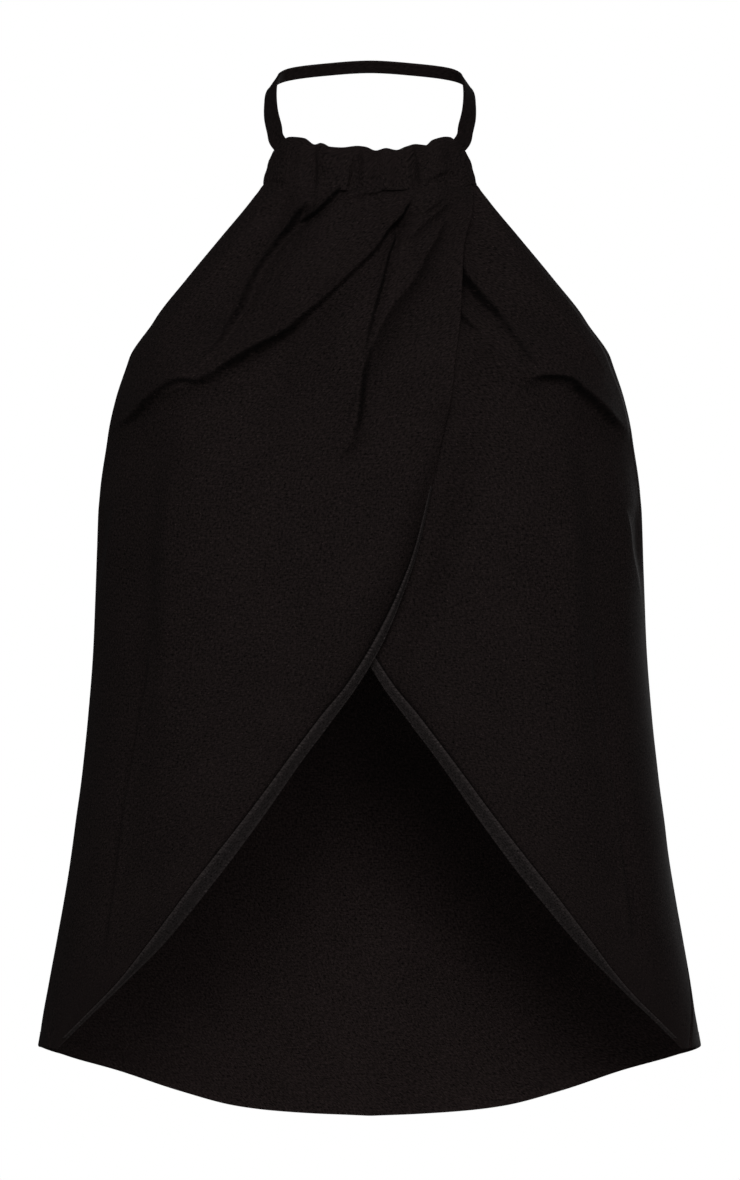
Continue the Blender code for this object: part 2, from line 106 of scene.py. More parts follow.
# The free edge: its outer line, the width of the band inside that line, how far the cloth dips just
# inside the band, and how far the band's outer line stands out.
EDGE_COLUMNS = ("z", "x", "band", "trough", "flare")
EDGE_ROWS = (
    (-87, 69.8, 0, 0, 0),
    (-123, 69, 0, 0, 0.5),
    (-164, 64.3, 0, 0.5, 1),
    (-213, 58, 0, 2.5, 1),
    (-252, 51.1, 0, 9, 1),
    (-291, 42.3, 1.4, 15, 1),
    (-330, 32.8, 2.6, 17, 2),
    (-358, 22.4, 4, 15.5, 3),
    (-387, 9.6, 6.5, 13, 4),
    (-416, -7.7, 8, 9, 4.5),
    (-437, -23.1, 10, 6.5, 4.5),
    (-467, -45.1, 10.5, 4, 4.5),
    (-501, -68.1, 12.3, 3, 4.5),
    (-540, -95.9, 14, 2, 4.5),
    (-581, -129.5, 12, 1.5, 4),
    (-609, -157.3, 6.5, 1, 3),
    (-640, -189.3, 3.6, 0.5, 1),
    (-656, -205, 3, 0, 0),
)
TROUGH_REACH = 12.0
BAND_TUCK = 1.2  # the panel runs on under the band by this much
BAND_SLIT = (0.9, 1.3)  # and is stitched down beside it, this deep and this wide
BAND_END_Z = -648.0
SLIT_EASE = (2.0, 3.0)  # it begins over that much band width, and ends over that height

# Gathers along the casing: its top edge, and how far its front swells or is drawn in.
GATHER_COLUMNS = ("x", "top_z", "swell")
GATHER_ROWS = (
    (-66, -60, 0), (-56, -56.4, 0.9), (-47, -57.6, 1.7), (-38, -62.6, -1.8), (-34, -61.8, 1.1),
    (-28, -64.4, 1.5), (-19, -65.2, -0.6), (-9, -64.3, -1.7), (-3, -65, 1.3), (4, -67.4, -1.4),
    (11, -65.8, 1.5), (18, -66.9, -0.9), (25, -64.4, 1.1), (32, -62.6, -1.8), (39, -63, -0.4),
    (45, -58.8, 1.7), (54, -56.4, -0.6), (66, -60, 0),
)
RIPPLE_LENGTH = 11.0
CALM_EDGE = 11.0  # a panel's calm edge takes one part in so many

# The cloth's broad and small waves: height, length across, and that over the length down
UNEVEN = ((0.7, 95, 0.55), (0.22, 31, 0.7))
UNEVEN_START = 40.0  # they begin over this much below the casing
WAVES = 6  # in each sum
WAVE_TURN = 2.4  # from one wave's direction to the next
WAVE_PITCH = (0.75, 0.13)  # the first one's share of the length, and what each next one adds
WAVE_PHASE = 1.9
WAVE_PEAK = 1.4
OVER_WAVE = 0.7  # sets the panel's own waves

# Folds as seen from the front, as points down a line. The cloth falls to its right, or to its left if the
# depth is negative, by that depth and within that width, and comes back over several times the width.
FOLD_COLUMNS = ("x", "z", "depth", "width")
FOLD_RETURN, CREASE_RETURN = 4.0, 1.3  # in widths
FOLD_RIDGE = (0.3, 2.0)  # the share of the depth that stands up, and its width in widths
FOLD_FADE, FOLD_REACH, BELL_REACH = 9.0, 12.0, 4.0  # in widths
FOLD_STEPS = 4  # from one point of a line to the next
BEND_BLEND = (0.4, 0.12)  # how softly a line's stretches blend, and how much more so further off
CREASE_SHADE_WIDTH = 1.3  # painted shade darkens the cloth this near to a crease's line
CREASE_SHADE_FULL = 7.0  # and the painted shade is darkest in one this deep
OVER_FOLDS = (
    ((20, -110, 0, 2.5), (15, -117, 5, 3), (10, -124, 6, 3), (4, -133, 6.2, 2.8),
     (-11, -148, 6.2, 2.8), (-27, -163, 6.6, 3), (-43, -177, 8, 4), (-54, -187, 10, 5.5),
     (-66, -194, 12.5, 7.5), (-77, -201, 14, 9), (-89, -209, 14, 9), (-97, -217, 11, 8),
     (-107, -222, 7, 6), (-118, -224, 6, 5), (-131, -229, 6, 5), (-145, -237, 5.5, 6),
     (-157, -244, 4, 7), (-176, -251, 0, 7)),
    ((54, -109, 0, 9.6), (46, -125, 9.1, 10.8), (39, -136, 10.4, 10.8), (33, -146, 11.7, 10.8),
     (25, -158, 13, 12), (17, -168, 15.6, 13.2), (11, -177, 16.9, 14.4), (5, -188, 18.2, 14.4),
     (1, -198, 18.2, 13.2), (-2, -208, 17.6, 11.4), (-5, -219, 16.2, 9.6), (-6, -229, 15, 8.4),
     (-7, -241, 13.7, 7.8), (-9, -250, 11.7, 7.8), (-12, -259, 7.8, 7.8), (-19, -273, 0, 7.2)),
    ((56, -97, 0, 8.8), (46, -107, 8.1, 9.9), (36, -115, 10.8, 11), (27, -124, 10.8, 11),
     (20, -133, 5.4, 9.9), (15, -144, 0, 7.7)),
    ((-45, -102, 0, 4), (-54, -114, 2, 5), (-66, -130, 2, 5), (-78, -155, 2, 5), (-88, -178, 3, 5),
     (-96, -198, 3, 5), (-107, -215, 0, 5)),
    ((-55, -87, 0, 6), (-64, -98, 7, 6), (-71, -106, 8.4, 6.5), (-76, -115, 7.8, 7),
     (-86, -128, 6.2, 7), (-98, -143, 5, 8), (-109, -157, 5, 8), (-120, -172, 4.2, 8),
     (-135, -190, 0, 8)),
    ((2, -93, 0, 4), (-5, -96, 4, 4.5), (-13, -98, 4.6, 5), (-21, -99, 3.6, 5), (-28, -101, 0, 5)),
    ((16, -110, 0, 3), (10, -116, 2.6, 3.4), (4, -120, 2.6, 3.4), (-2, -128, 0, 3.4)),
    ((49, -97, 0, 3), (43, -102, 3.6, 3.4), (38, -106, 4.2, 3.6), (33, -109, 3, 3.4),
     (28, -111, 0, 3)),
    ((-29, -128, 0, 4), (-33, -142, 3.6, 4), (-39, -156, 3.6, 4), (-45, -169, 2.8, 4),
     (-51, -181, 0, 4)),
    ((-13, -180, 0, 4), (-16, -189, 3.4, 4), (-20, -198, 2.6, 4), (-24, -208, 0, 4)),
    ((-11, -259, 0, 6), (-19, -269, 3, 7), (-28, -282, 0, 8)),
    ((52, -233, 0, 8), (43, -237, 4, 9), (34, -239, 4, 9), (22, -245, 0, 9)),
)
# Creases: the same, but the cloth comes back sooner, so that they gape
OVER_CREASES = (
    ((27, -101, 0, 1.9), (24, -105, 6.6, 2.5), (21, -111, 10.5, 3.1), (17, -116, 8.8, 2.7),
     (13, -120, 5, 1.9), (4, -133, 2.9, 1.6), (-11, -148, 2.6, 1.6), (-27, -163, 2.9, 1.7),
     (-43, -177, 4.4, 2.3), (-54, -187, 6.1, 3.1), (-66, -194, 7.2, 3.7), (-77, -201, 7.7, 3.9),
     (-88, -209, 6.6, 3.5), (-95, -215, 4.4, 2.5), (-105, -220, 5, 2.3), (-114, -219, 5.5, 2.1),
     (-121, -221, 5.5, 2.1), (-134, -229, 5.1, 2.2), (-150, -241, 3.7, 2.3), (-164, -248, 0, 2.3)),
    ((-41, -100, 0, 2.2), (-45, -104, 4.5, 2.6), (-51, -110, 7.5, 3), (-55, -116, 8, 3),
     (-61, -123, 6.5, 2.8), (-68, -133, 5.5, 2.6), (-75, -145, 5.5, 2.6), (-81, -158, 5.5, 2.6),
     (-85, -170, 5, 2.6), (-90, -181, 4.6, 2.6), (-93, -192, 4, 2.6), (-100, -203, 2.6, 2.6),
     (-107, -214, 0, 2.6)),
    ((-14, -81, 0, 1.5), (-14, -87, 4, 1.7), (-17, -91, 6, 1.8), (-22, -95, 6.6, 1.8),
     (-29, -102, 6.6, 1.8), (-37, -108, 6.4, 1.8), (-46, -112, 6, 1.8), (-53, -115, 0, 1.8)),
    ((-52, -120, 0, 2.4), (-56, -128, 2.2, 2.6), (-61, -139, 2.8, 2.6), (-67, -151, 2.8, 2.6),
     (-71, -162, 2.4, 2.6), (-75, -173, 1.8, 2.6), (-79, -187, 0, 2.6)),
    ((27, -95, 0, 1.2), (24, -92, 3.6, 1.5), (20, -91, 5, 1.7), (15, -92, 5, 1.8), (9, -94, 4.4, 1.7),
     (3, -96, 2.4, 1.6), (-5, -97, 0, 1.6)),
    ((17, -117, 0, 1.5), (17, -125, 4.9, 1.7), (13, -136, 6.2, 1.8), (10, -148, 5.9, 1.7),
     (6, -163, 5.7, 1.7), (2, -178, 5.1, 1.7), (-2, -195, 4.1, 1.8), (-4, -208, 0, 1.9)),
    ((2, -195, 0, 1.6), (-2, -208, 3.6, 1.8), (-4, -219, 4.6, 2), (-5, -229, 5, 2),
     (-6, -240, 4.6, 2), (-8, -249, 3.6, 2), (-11, -256, 0, 2)),
    ((-7, -227, 0, 2), (-11, -234, 3.4, 2.2), (-13, -243, 3, 2.2), (-16, -254, 0, 2)),
)
# The drapes down the left side, and the dent below the underarm
SIDE_FOLDS = (
    ((-168, -300, 0, 5), (-171, -314, -3.5, 6), (-172, -327, -4, 6), (-176, -343, -3, 6),
     (-180, -363, 0, 6)),
    ((-141, -387, 0, 2.2), (-142, -413, -2.8, 2.1), (-146, -433, -4.4, 2), (-150, -460, -5.2, 1.9),
     (-156, -491, -5.2, 1.9), (-161, -524, -5, 1.9), (-165, -550, -4, 1.8), (-169, -573, -2.6, 1.8),
     (-171, -595, 0, 1.8)),
)

# Broad ridges, which fall away over those distances to the left and right of their lines
RIDGE_COLUMNS = ("x", "z", "height", "left", "right")
RIDGE_REACH = 3.0  # in those distances
SIDE_RIDGES = (
    ((-120, -241, 0, 12, 30), (-123, -277, 5, 12, 40), (-126, -323, 9, 13, 45),
     (-126, -374, 10, 14, 45), (-127, -426, 10, 18, 45), (-128, -478, 8.5, 28, 45),
     (-131, -529, 6, 36, 40), (-133, -574, 3, 36, 36), (-136, -613, 0, 36, 30)),
)
OVER_RIDGES = (
    ((-67, -184, 0, 45, 18), (-84, -201, 9, 45, 20), (-101, -215, 15, 45, 22),
     (-117, -220, 16, 40, 24), (-133, -228, 13, 32, 25), (-147, -236, 8, 26, 25),
     (-161, -243, 3, 22, 24), (-176, -251, 0, 20, 24)),
)


def table(columns, rows):
    """The rows as one array for each named column."""
    return dict(zip(columns, np.array(rows, float).T))


TINY = 1e-12


def smooth(at, known, values):
    """Values on a curve through the known ones, which never overshoots them."""
    step = np.diff(known)
    slope = np.diff(values) / step
    product = slope[1:] * slope[:-1]
    inner = np.where(product > 0, 2 * product / (slope[1:] + slope[:-1] + TINY), 0)
    tangent = np.concatenate([slope[:1], inner, slope[-1:]])
    at = np.clip(at, known[0], known[-1])
    i = np.clip(np.searchsorted(known, at, side="right") - 1, 0, len(step) - 1)
    t = (at - known[i]) / step[i]
    rise = t * t * (3 - 2 * t)
    curve = values[i] * (1 - rise) + values[i + 1] * rise
    return curve + step[i] * (t * (1 - t) ** 2 * tangent[i] - t * t * (1 - t) * tangent[i + 1])


def curves(columns, rows):
    """A function of a column's name and of places along the first column."""
    known = table(columns, rows)
    first = known[columns[0]]
    way = np.sign(first[-1] - first[0])
    return lambda name, at: smooth(way * np.asarray(at, float), way * first, known[name])


section = curves(SECTION_COLUMNS, SECTION_ROWS)
edge = curves(EDGE_COLUMNS, EDGE_ROWS)
gather = curves(GATHER_COLUMNS, GATHER_ROWS)


def unit(vectors):
    return vectors / np.linalg.norm(vectors, axis=-1, keepdims=True)


def eased(t):
    """0 below 0, 1 above 1, and a soft step between."""
    t = np.clip(t, 0, 1)
    return t * t * (3 - 2 * t)


def bell(away, width):
    """1 at 0, falling softly on both sides within about that width."""
    return np.exp(-((away / width) ** 2))


def casing_bottom(x):
    return CASING_END_Z - CASING_SAG * (1 - np.clip(np.abs(x) / CASING_END_X, 0, 1) ** 2)


def front_point(q, z):
    """The front's smooth form: q runs from -1 at the left edge, over 0 at the middle, to 1."""
    angle = q * np.radians(section("edge_angle", z))
    depth = section("axis_y", z) - section("front_y", z)
    x, y = section("half_width", z) * np.sin(angle), section("axis_y", z) - depth * np.cos(angle)
    return np.stack(np.broadcast_arrays(x, y, z), axis=-1)


def front_q(x, z):
    """The q of a place on the front that is seen at x."""
    return np.arcsin(np.clip(x / section("half_width", z), -1, 1)) / np.radians(section("edge_angle", z))


def outward(points):
    """The level direction out of the body at points on or near its smooth form."""
    x, y, z = np.moveaxis(points, -1, 0)
    end_y = np.where(y < section("axis_y", z), section("front_y", z), section("back_y", z))
    depth = end_y - section("axis_y", z)
    out_y = (y - section("axis_y", z)) / depth**2
    return unit(np.stack([x / section("half_width", z) ** 2, out_y, np.zeros_like(x)], axis=-1))


def beside(x, z, columns, points, reach):
    """Which places lie near a line, how far away, how far to its right, and its columns there."""
    knots = np.arange(len(points))
    t = np.linspace(0, knots[-1], FOLD_STEPS * knots[-1] + 1)
    line = {name: smooth(t, knots, column) for name, column in table(columns, points).items()}
    near = (x > line["x"].min() - reach) & (x < line["x"].max() + reach)
    near = near & (z > line["z"].min() - reach) & (z < line["z"].max() + reach)
    ax, az, bx, bz = line["x"][:-1], line["z"][:-1], np.diff(line["x"]), np.diff(line["z"])
    px, pz = x[near][:, None] - ax, z[near][:, None] - az
    along = np.clip((px * bx + pz * bz) / (bx**2 + bz**2), 0, 1)
    away = np.hypot(px - along * bx, pz - along * bz)
    least = away.min(axis=-1, keepdims=True)
    weight = np.exp((least - away) / (BEND_BLEND[0] + BEND_BLEND[1] * least))
    weight /= weight.sum(axis=-1, keepdims=True)
    at = (weight * (t[:-1] + along * t[1])).sum(axis=-1)
    right = (weight * (bx * pz > bz * px)).sum(axis=-1)
    return near, least[:, 0], right, {name: np.interp(at, t, values) for name, values in line.items()}


def folded(x, z, folds, creases=(), ridges=()):
    """How far all those folds, creases and ridges move the cloth at (x, z), inwards negative."""
    x, z = np.broadcast_arrays(x, z)
    moved = np.zeros(x.shape)
    returns = [FOLD_RETURN] * len(folds) + [CREASE_RETURN] * len(creases)
    for fold, back in zip(folds + creases, returns):
        reach = FOLD_REACH * max(width for _, _, _, width in fold)
        near, away, right, line = beside(x, z, FOLD_COLUMNS, fold, reach)
        width, falling = line["width"], np.where(line["depth"] > 0, right, 1 - right)
        peak = back / (back + 1) ** (1 + 1 / back)
        fall = (1 - np.exp(-away / width)) * np.exp(-away / (back * width)) / peak
        rise = FOLD_RIDGE[0] * bell(away, FOLD_RIDGE[1] * width)
        moved[near] += np.abs(line["depth"]) * bell(away, FOLD_FADE * width) * (rise - falling * fall)
    for ridge in ridges:
        reach = RIDGE_REACH * max(max(row[3:]) for row in ridge)
        near, away, right, line = beside(x, z, RIDGE_COLUMNS, ridge, reach)
        moved[near] += line["height"] * bell(away, line["left"] * (1 - right) + line["right"] * right)
    return moved


def crease_shade(x, z, creases):
    """How much painted shade darkens the cloth: 1 in the bottom of the deep creases and 0 beside them."""
    black = np.zeros(x.shape)
    for crease in creases:
        near, away, _, line = beside(x, z, FOLD_COLUMNS, crease, BELL_REACH * CREASE_SHADE_WIDTH)
        deep = np.minimum(np.abs(line["depth"]) / CREASE_SHADE_FULL, 1)
        black[near] = np.maximum(black[near], deep * bell(away, CREASE_SHADE_WIDTH))
    return black


def waves(x, z, length, start):
    """Soft uneven waves about so long, between about -1 and 1, the same on every run."""
    total = np.zeros(np.broadcast(x, z).shape)
    for n in range(WAVES):
        angle = start + WAVE_TURN * n
        pitch = length * (WAVE_PITCH[0] + WAVE_PITCH[1] * n)
        along = x * np.cos(angle) + z * np.sin(angle)
        total += np.sin(along * 2 * np.pi / pitch + WAVE_PHASE * n * start)
    return total / WAVES**0.5 / WAVE_PEAK


def gather_ripple(x, z):
    """The gathers run on below the casing and die out."""
    below = np.maximum(casing_bottom(x) - z, 0)
    return gather("swell", x) * np.exp(-below / RIPPLE_LENGTH)


def unevenness(x, z, start):
    """The cloth is never quite smooth: broad soft waves and small ones."""
    kinds = enumerate(UNEVEN)
    uneven = sum(high * waves(x, squeeze * z, length, start + n) for n, (high, length, squeeze) in kinds)
    return uneven * eased((casing_bottom(x) - z) / UNEVEN_START)


def calm(x, z):
    """The outer edge stays smooth: 0 there and 1 further in."""
    return eased((1 - np.abs(front_q(x, z))) * CALM_EDGE)


def over_form(x, z):
    """How far the over front stands out from the smooth form at (x, z)."""
    falls = folded(x, z, OVER_FOLDS + SIDE_FOLDS, OVER_CREASES, OVER_RIDGES + SIDE_RIDGES)
    moved = (gather_ripple(x, z) + unevenness(x, z, OVER_WAVE) + falls) * calm(x, z)
    inside = np.maximum(edge("x", z) - edge("band", z) - x, 0)
    return moved - edge("trough", z) * np.exp(-inside / TROUGH_REACH)


def math_node(operation, swapped=False):
    """A method of Wire that adds a Math node."""

    def method(self, other=0.0):
        first, second = (other, self) if swapped else (self, other)
        return self.node("Math", {"operation": operation}, {0: first, 1: second})

    return method


class Wire:
    """One output of a shader tree. Arithmetic on it adds Math nodes."""

    def __init__(self, tree, socket=None):
        self.tree = tree
        self.socket = socket

    def node(self, kind, settings, inputs, output=0):
        """A new node's output. Its settings come first, then the values or links of its sockets."""
        made = self.tree.nodes.new("ShaderNode" + kind)
        for name, value in settings.items():
            setattr(made, name, value)
        for name, value in inputs.items():
            if isinstance(value, Wire):
                self.tree.links.new(value.socket, made.inputs[name])
            else:
                made.inputs[name].default_value = value
        return Wire(self.tree, made.outputs[output] if made.outputs else None)

    __add__ = __radd__ = math_node("ADD")
    __sub__ = math_node("SUBTRACT")
    __rsub__ = math_node("SUBTRACT", swapped=True)
    __mul__ = __rmul__ = math_node("MULTIPLY")
    __truediv__ = math_node("DIVIDE")
    __lt__ = math_node("LESS_THAN")
    sine = math_node("SINE")


THREAD = 0.55 * MM  # from one thread to the next
WEAVE_HEIGHT = 0.35
# The cloth's blots: size across and along it, where their pattern starts, their detail, how much they
# lighten the cloth and how high they stand
LINEN_BLOTS = (
    ("weft", 2.0, 1.1, 0.0, 2.0, 2.0, 0.8),
    ("warp", 1.1, 2.1, 0.0, 2.0, 1.9, 0.6),
    ("slubs", 14.0, 1.2, 0.3, 1.0, 0.5, 0.4),
    ("clouds", 34.0, 42.0, 0.0, 2.0, 0.3, 0.0),
)
LINT_CELL = 11.0 * MM  # one speck of lint in each, of this share of it and this much lighter
LINT_SIZE, LINT_LIGHTER = 0.035, 1.6
RELIEF = {"Strength": 0.4, "Distance": 0.2 * MM}
ROUGHNESS = (0.98, 0.16)  # and how much smoother the weft's blots are
SPECULAR = 0.08
WRONG_SIDE_PAINTED_LIGHT = 1.3  # the inner layer is painted paler: a little for the cloth's paler wrong side, the rest painted light for the inside of the top, which the lamps reach too little
PAINTED_SHADE = 1.5  # painted shade: how much darker the bottoms of its creases and the stitched slit beside a band are painted


def linen(name, colour, wear_and_light_gain):
    """Slubby plain-weave linen of that colour, lighter by that share where it is rubbed or painted lighter,
    and darker where painted shade lies.
    """
    material = bpy.data.materials.new(name)
    material.use_nodes = True
    tree = material.node_tree
    tree.nodes.clear()
    start = Wire(tree)
    grain = start.node("Attribute", {"attribute_name": "grain"}, {}, "Vector")
    across, along = (start.node("SeparateXYZ", {}, {0: grain}, n) for n in (0, 1))
    worn = start.node("Attribute", {"attribute_name": "worn"}, {}, "Fac")

    weave = (across * (np.pi / THREAD)).sine() * (along * (np.pi / THREAD)).sine()
    lightness, height = 1.0, weave * WEAVE_HEIGHT
    blots = {}
    for kind, wide, long, shift, detail, lighter, raised in LINEN_BLOTS:
        place = {0: across / (wide * MM), 1: (along + shift) / (long * MM)}
        pattern = {"Vector": start.node("CombineXYZ", {}, place), "Scale": 1.0, "Detail": detail}
        blots[kind] = start.node("TexNoise", {"noise_dimensions": "2D"}, pattern)
        lightness = lightness + (blots[kind] - 0.5) * lighter
        height = height + blots[kind] * raised
    cells = {"Vector": start.node("CombineXYZ", {}, {0: across, 1: along}), "Scale": 1 / LINT_CELL}
    centre = start.node("TexVoronoi", {"voronoi_dimensions": "2D"}, cells, "Distance")
    # Each point's value carries wear on rubbed edges together with painted light and painted shade.
    lightness = lightness * (1 + worn * wear_and_light_gain) + (centre < LINT_SIZE) * LINT_LIGHTER
    shaded = {0: colour, "Scale": lightness}
    look = {
        "Base Color": start.node("VectorMath", {"operation": "SCALE"}, shaded),
        "Roughness": ROUGHNESS[0] - blots["weft"] * ROUGHNESS[1],
        "Specular IOR Level": SPECULAR,
        "Normal": start.node("Bump", {}, {**RELIEF, "Height": height}),
    }
    shader = start.node("BsdfPrincipled", {}, look)
    start.node("OutputMaterial", {}, {"Surface": shader})
    return material


INNER_STEP = 2  # a front's inner layer has every second point of its outer one
SHARP_ANGLE = 60
STITCH_PITCH = 3.0
STITCH_ENDS = (-1.1, 0.0, 1.1)
STITCH_RADII = (0.1, 0.26, 0.1)
STITCH_SIDES = 6
STITCH_SIDEWAYS = (0.3, 0.9, 0.3)  # any direction that no stitch runs in


def grid_faces(index):
    """Four-sided faces between the rows and columns of an array of point numbers."""
    corners = [index[:-1, :-1], index[1:, :-1], index[1:, 1:], index[:-1, 1:]]
    return np.stack(corners, axis=-1).reshape(-1, 4)


def numbered(points, first=0):
    """The number of each point of a grid."""
    return first + np.arange(points.size // 3).reshape(points.shape[:-1])


def closed(index):
    """A tube's rings of point numbers, with each one's first again at its end."""
    return np.concatenate([index, index[..., :1]], axis=-1)


def placed(name, data):
    """A new object in the scene that shows the data."""
    made = bpy.data.objects.new(name, data)
    bpy.context.scene.collection.objects.link(made)
    return made


def make_piece(name, points, faces, grain, worn, material):
    """A mesh that rides with the top. grain is each point's place on the flat cloth."""
    mesh = bpy.data.meshes.new(name)
    mesh.from_pydata((points.reshape(-1, 3) * MM).tolist(), [], faces)
    mesh.shade_smooth()
    mesh.set_sharp_from_angle(angle=np.radians(SHARP_ANGLE))
    flat = np.zeros((points.size // 3, 3))
    flat[:, :2] = grain.reshape(-1, 2) * MM
    mesh.attributes.new("grain", "FLOAT_VECTOR", "POINT").data.foreach_set("vector", flat.ravel())
    mesh.attributes.new("worn", "FLOAT", "POINT").data.foreach_set("value", worn.ravel().astype(float))
    mesh.materials.append(material)
    piece = placed(name, mesh)
    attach(piece, "root")
    return piece


def rim(index):
    """The point numbers round the edge of a grid, from its top right corner."""
    return np.concatenate([index[0, ::-1], index[1:, 0], index[-1, 1:], index[-2:0:-1, -1]])


def make_shell(name, outer, inner, step, grain, worn, material):
    """Two layers of points, joined round their rim. The inner one has every step-th of the outer's."""
    index = numbered(outer)
    under = numbered(inner, index.size)
    above, below = rim(index), rim(under)
    faces = grid_faces(index).tolist() + grid_faces(under)[:, ::-1].tolist()
    for k in range(len(below)):
        side = [above[(step * (k + 1) - n) % len(above)] for n in range(step + 1)]
        faces.append([int(n) for n in (below[k], below[(k + 1) % len(below)], *side)])
    points = np.concatenate([outer.reshape(-1, 3), inner.reshape(-1, 3)])
    grain = np.concatenate([grain.reshape(-1, 2), grain[::step, ::step].reshape(-1, 2)])
    # The inner layer is painted paler: partly the cloth's wrong side, partly painted light.
    worn = np.concatenate([worn.ravel(), worn[::step, ::step].ravel() + WRONG_SIDE_PAINTED_LIGHT])
    return make_piece(name, points, faces, grain, worn, material)


def gathered_length(points, axis):
    """How far each point of a grid lies from its start, along its rows or its columns."""
    steps = np.linalg.norm(np.diff(points, axis=axis), axis=-1)
    first = np.zeros_like(np.take(steps, [0], axis=axis))
    return np.concatenate([first, np.cumsum(steps, axis=axis)], axis=axis)


def shares(count):
    """Places from 0 to 1 across a panel, closer together at both ends where its edges round."""
    ends = np.array(EDGE_SHARES)
    return np.concatenate([ends, np.linspace(INNER_SHARE, 1 - INNER_SHARE, count), 1 - ends[::-1]])


def rounded(away, reach, depth):
    """How far an edge turns in, away from the edge by that much."""
    return depth * np.clip(1 - away / reach, 0, 1) ** 2


def groove(away):
    """How far a hem's stitches draw the cloth in, away from them by that much."""
    return HEM_GROOVE[0] * bell(away, HEM_GROOVE[1])


def line_at(points, distance, at):
    """The line over a grid of points where the distance along its rows has that value."""
    rows = zip(points, distance)
    return np.array([[np.interp(at, far, row[:, k]) for k in (0, 1, 2)] for row, far in rows])


def sew(name, lines, material):
    """Stitches along those lines: each is a short thread that is thickest at its middle."""
    turn = np.arange(STITCH_SIDES)[:, None] * 2 * np.pi / STITCH_SIDES
    stitched = []
    for line in lines:
        run = gathered_length(line, 0)
        stops = np.arange(0.5 * STITCH_PITCH, run[-1], STITCH_PITCH)[:, None] + STITCH_ENDS
        ends = np.stack([np.interp(stops, run, line[:, k]) for k in (0, 1, 2)], axis=-1)
        along = unit(ends[:, -1] - ends[:, 0])
        first = unit(np.cross(along, STITCH_SIDEWAYS))
        second = np.cross(along, first)
        ring = np.cos(turn) * first[:, None] + np.sin(turn) * second[:, None]
        stitched.append(ends[:, :, None] + np.array(STITCH_RADII)[:, None, None] * ring[:, None])
    stitched = np.concatenate(stitched)
    faces = []
    for stitch in closed(numbered(stitched)):
        faces += grid_faces(stitch)[:, ::-1].tolist()
        faces += [stitch[0, :-1].tolist(), stitch[-1, -2::-1].tolist()]
    flat = np.zeros((stitched.size // 3, 2))
    return make_piece(name, stitched, faces, flat, flat[:, 0], material)


def front_grid(crowding):
    """(q, z) of the over front's points. Its twin has the same ones with q turned round."""
    t = np.linspace(0, 1, ARMHOLE_ROWS)
    first, last = CASING_END_Z - ARMHOLE_START, UNDERARM_Z + UNDERARM_TURN
    armhole = first + (last - first) * (t + ARMHOLE_CROWDING * (t * t - t))
    seam = UNDERARM_Z + (HEM_SIDE_Z - UNDERARM_Z) * np.linspace(0, 1, SEAM_ROWS + 1)
    level = np.concatenate([CASING_END_Z + np.array(TOP_ROWS), armhole, seam])[:, None]
    across = shares(FRONT_COLUMNS)[None, :]
    across = across - crowding * np.sin(np.pi * across) / np.pi
    free_x = edge("x", level) - np.maximum(edge("band", level) - BAND_TUCK, 0)
    free_q = np.maximum(front_q(free_x, level), LEAST_Q)
    q = -1 + across * (free_q + 1)
    x = front_point(q, level)[..., 0]
    sag = casing_bottom(x) - CASING_END_Z
    return q, level + sag * np.exp(-np.maximum(CASING_END_Z - level, 0) / SAG_REACH)


def lowest_near(grid, reach):
    """The lowest value of a grid within that many places of each of its points."""
    padded = np.pad(grid, reach, mode="edge")
    around = (2 * reach + 1, 2 * reach + 1)
    return np.lib.stride_tricks.sliding_window_view(padded, around).min(axis=(2, 3))


def softened(grid):
    """Each value blended with those next to it, so that steep folds have no steps."""
    padded = np.pad(grid, 1, mode="edge")
    rows = (padded[:-2] + 2 * padded[1:-1] + padded[2:]) / 4
    return (rows[:, :-2] + 2 * rows[:, 1:-1] + rows[:, 2:]) / 4


def make_front(name, material, crowding, side, form, creases):
    """One front as a thin shell with its armhole hem, its turned free edge and its seam edges."""
    q, z = front_grid(crowding)
    base = front_point(q, z)
    from_side = gathered_length(base, 1)
    from_free = from_side[:, -1:] - from_side
    base[..., 0] *= side
    out = outward(base)
    x = base[..., 0]
    hemmed = eased((z - UNDERARM_Z) / UNDERARM_EASE)
    reach, turn = SEAM_ROUND
    moved = softened(form(x, z)) - rounded(from_side, reach, turn + (ARMHOLE_TURN - turn) * hemmed)
    moved -= rounded(from_free, *FREE_ROUND) + rounded(casing_bottom(x) - z, *TOP_ROUND)
    moved -= hemmed * groove(from_side - ARMHOLE_HEM)
    banded = eased((edge("band", z) - BAND_TUCK) / SLIT_EASE[0]) * eased((z - BAND_END_Z) / SLIT_EASE[1])
    slit = banded * bell(from_free - BAND_TUCK, BAND_SLIT[1])
    moved -= BAND_SLIT[0] * slit
    turned = np.maximum(hemmed * (from_side < ARMHOLE_HEM), (1 - banded) * (from_free < FACING))
    thick = CLOTH_THICK + (HEM_THICK - CLOTH_THICK) * turned
    outer = base + out * moved[..., None]
    inner = base + out * lowest_near(moved - thick, INNER_STEP)[..., None]
    grain = np.stack([from_side * side, gathered_length(base, 0)], axis=-1)
    worn = hemmed * HEM_WEAR[0] * np.exp(-from_side / HEM_WEAR[1])
    worn += (1 - banded) * np.exp(-from_free / FREE_WEAR)
    # Painted shade: the stitched slit beside the band and the bottoms of the creases are darkened in the
    # colour.
    worn -= PAINTED_SHADE * np.maximum(slit, crease_shade(x, z, creases))
    hem_line = line_at(outer, from_side, ARMHOLE_HEM - STITCH_INSET)[: ARMHOLE_ROWS + len(TOP_ROWS)]
    if side < 0:
        outer, inner, grain, worn = (part[:, ::-1] for part in (outer, inner, grain, worn))
    inner = inner[::INNER_STEP, ::INNER_STEP]
    piece = make_shell(name, outer, inner, INNER_STEP, grain, worn, material)
    return piece, hem_line


